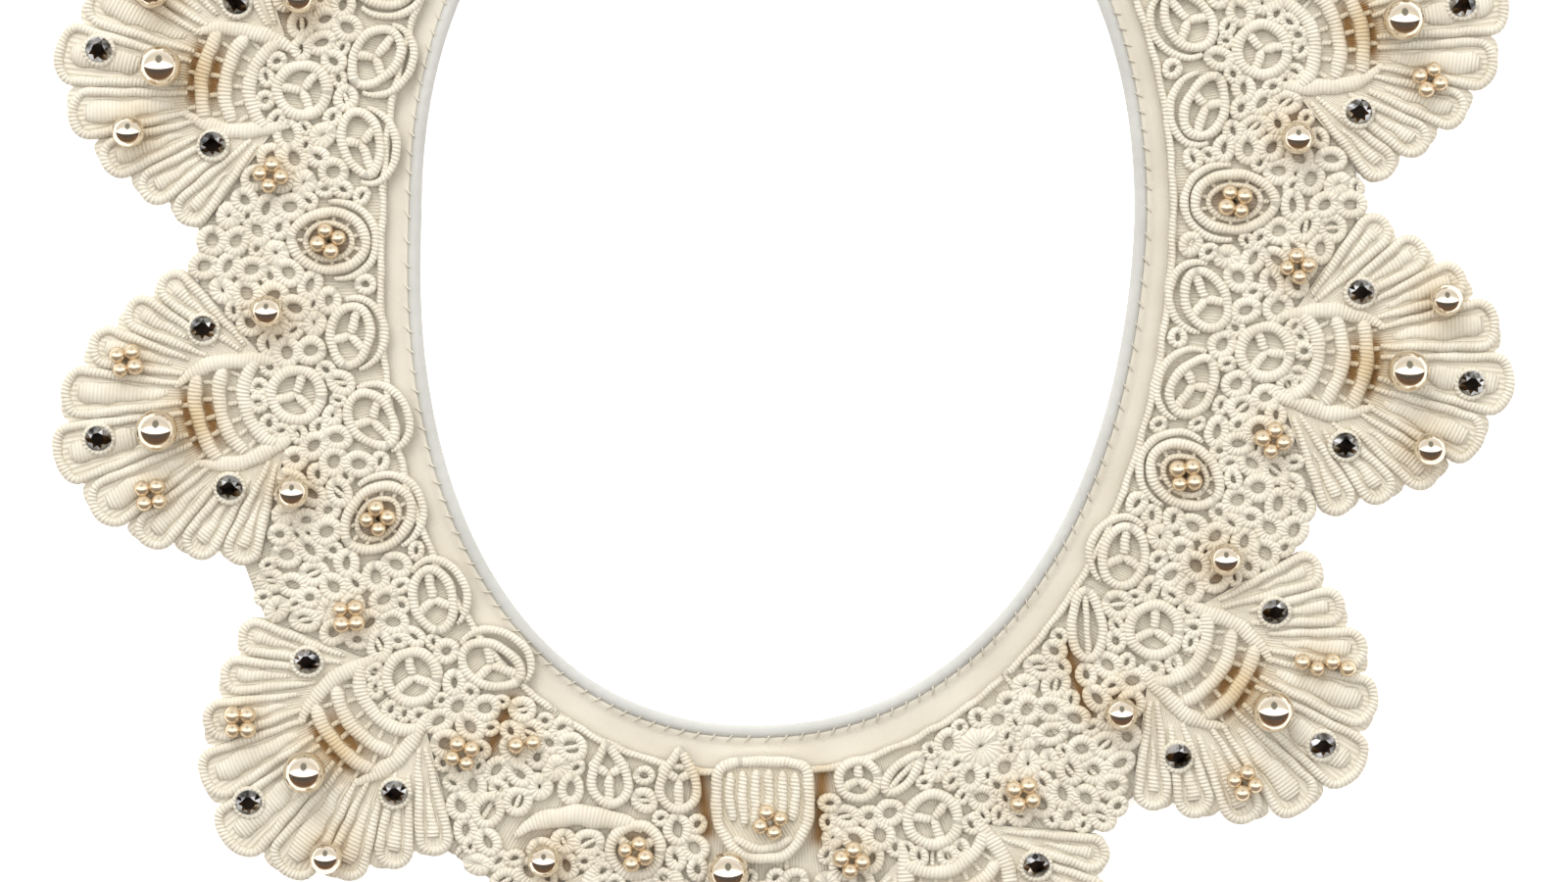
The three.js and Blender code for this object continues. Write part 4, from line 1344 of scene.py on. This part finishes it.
def bead_pieces():
    medium = Needlework()
    seeds = Needlework()
    stones = Needlework()
    settings = Needlework()
    for name, fan in FANS.items():
        for kind, degrees, radius in FAN_BEADS.get(name, FAN_BEADS["back"]):
            centre = fan_polar(fan, degrees, radius)
            if kind == "medium":
                bead(medium, MEDIUM_BALL, *centre, LACE_TOP + 0.7 + MEDIUM_RADIUS, MEDIUM_RADIUS)
                bead_seat(settings, *centre, 1.1, LACE_TOP + 0.5)
            elif kind == "stone":
                stone(stones, centre)
                setting = oval(centre, STONE_RADIUS + 0.1, STONE_RADIUS + 0.1, 0, 20)
                cord(settings, setting, LACE_TOP + 0.95, (0.5, 0.4), closed=True)
            else:
                seed_cluster(seeds, centre, chance.uniform(0, 90), kind)
    for ring in ROSETTES:
        seed_cluster(seeds, np.array([ring["x"], ring["y"]]), chance.uniform(0, 90), "seeds", LACE_TOP + 0.25)
    seed_cluster(seeds, np.array(TULIP_SEEDS), 20, "seeds")
    medium.piece("medium_pearls", PEARL, "pearl")
    seeds.piece("seed_pearls", SEED, "pearl")
    stones.piece("dark_stones", STONE, "dark_stone", smooth=False)
    for node in [f"pearl_{name}" for name in FANS] + ["pearl_front_side"]:
        low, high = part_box(node)
        centre = ((low + high) / 2 - Vector(SHIFT)) * 1000
        big = Needlework()
        bead(big, BIG_BALL, *centre, PEARL_RADIUS)
        bead_seat(settings, centre.x, centre.y, 1.5, centre.z - 3.2)
        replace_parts(big.piece(f"{node}_ball", PEARL, "pearl"), node)
    settings.piece("bead_settings", LACE_THREAD, "corded_lace")


# Camera, light and floor

def camera():
    middle = ((PHOTO_WIDTH / 2 - NECK_MIDDLE_PIXEL[0]) * MILLIMETRES_PER_PIXEL / 1000 + SHIFT[0],
              -(PHOTO_HEIGHT / 2 - NECK_MIDDLE_PIXEL[1]) * MILLIMETRES_PER_PIXEL / 1000 + SHIFT[1])
    data = bpy.data.cameras.new("camera")
    data.lens = 110
    data.sensor_width = 36
    data.clip_start = 0.01
    obj = bpy.data.objects.new("camera", data)
    width = PHOTO_WIDTH * MILLIMETRES_PER_PIXEL / 1000
    obj.location = (middle[0], middle[1], width * data.lens / data.sensor_width + LACE_TOP / 1000)
    bpy.context.scene.collection.objects.link(obj)
    bpy.context.scene.camera = obj


def soft_light(name, place, size, energy):
    light = bpy.data.lights.new(name, "AREA")
    light.shape = "RECTANGLE"
    light.size, light.size_y = size
    light.energy = energy
    obj = bpy.data.objects.new(name, light)
    obj.location = place
    obj.rotation_mode = "QUATERNION"
    obj.rotation_quaternion = Vector(place).to_track_quat("Z", "Y")
    obj.visible_glossy = False
    bpy.context.scene.collection.objects.link(obj)


def dark_slot(nodes, links, x, y, z):
    """1 all over the sky but for a dark slot beyond the middle, seen in the beads as a small dark mark."""
    across = maths(nodes, links, "DIVIDE", maths(nodes, links, "DIVIDE", x, z), SLOT_HALF_WIDTH)
    along = maths(nodes, links, "SUBTRACT", maths(nodes, links, "DIVIDE", y, z), SLOT_MIDDLE)
    along = maths(nodes, links, "DIVIDE", along, SLOT_HALF_LENGTH)
    squares = [maths(nodes, links, "MULTIPLY", value, value) for value in (across, along)]
    spread = nodes.new("ShaderNodeMapRange")
    spread.interpolation_type = "SMOOTHSTEP"
    links.new(maths(nodes, links, "ADD", *squares), spread.inputs["Value"])
    for label, value in (("From Min", 0.6), ("From Max", 1.2), ("To Min", 0.0), ("To Max", 1.0)):
        spread.inputs[label].default_value = value
    return spread.outputs["Result"]


def studio_world():
    """A studio with a broad white strip overhead, brown on the near side and grey beyond."""
    world = bpy.data.worlds.new("studio")
    world.use_nodes = True
    nodes = world.node_tree.nodes
    links = world.node_tree.links
    place = nodes.new("ShaderNodeTexCoord")
    split = nodes.new("ShaderNodeSeparateXYZ")
    links.new(place.outputs["Generated"], split.inputs[0])
    x, y, z = (split.outputs[axis] for axis in "XYZ")
    squares = [maths(nodes, links, "MULTIPLY", value, value) for value in (y, z)]
    length = maths(nodes, links, "SQRT", maths(nodes, links, "ADD", *squares))
    tilt = maths(nodes, links, "DIVIDE", y, length)
    ramp = nodes.new("ShaderNodeValToRGB")
    while len(ramp.color_ramp.elements) < len(SKY):
        ramp.color_ramp.elements.new(0.5)
    for element, (position, colour) in zip(ramp.color_ramp.elements, SKY):
        element.position = (position + 1) / 2
        element.color = (*colour, 1)
    links.new(maths(nodes, links, "MULTIPLY_ADD", tilt, 0.5, 0.5), ramp.inputs["Fac"])
    background = nodes["Background"]
    slot = dark_slot(nodes, links, x, y, z)
    links.new(mixed(nodes, links, slot, (0.09, 0.09, 0.075, 1), ramp.outputs["Color"]), background.inputs["Color"])
    background.inputs["Strength"].default_value = SKY_STRENGTH
    bpy.context.scene.world = world


def floor():
    mesh = bpy.data.meshes.new("floor")
    half = 1.5
    mesh.from_pydata([(-half, -half, 0), (half, -half, 0), (half, half, 0), (-half, half, 0)], [], [(0, 1, 2, 3)])
    obj = bpy.data.objects.new("floor", mesh)
    material, _, _, shader = new_material("floor_white")
    shader.inputs["Base Color"].default_value = (0.93, 0.93, 0.93, 1)
    shader.inputs["Roughness"].default_value = 0.9
    shader.inputs["Emission Color"].default_value = (1, 1, 1, 1)
    shader.inputs["Emission Strength"].default_value = 0.5
    mesh.materials.append(material)
    bpy.context.scene.collection.objects.link(obj)


camera()
floor()
studio_world()
soft_light("window", (-0.3, 1.0, 0.9), (0.9, 0.6), 10)
bpy.context.scene.view_settings.view_transform = "Standard"

SQUARES = plan_squares()
ground_cloth = ground_piece()
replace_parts(ground_cloth, "ground_cloth")
neck_binding = binding_piece()
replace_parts(neck_binding, "neck_binding")
stitches = stitch_piece()
ground_area = cut_area(SQUARES, FANS.values(), (0, 1), lambda turns: GROUND_INNER, LACE_OUTER - GROUND_INSET)
for lace_name in LENGTHS:
    lace_pieces(lace_name)
tulip_pieces()
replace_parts(button_piece(), "back_button")
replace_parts(loop_piece(), "back_loop")
bead_pieces()
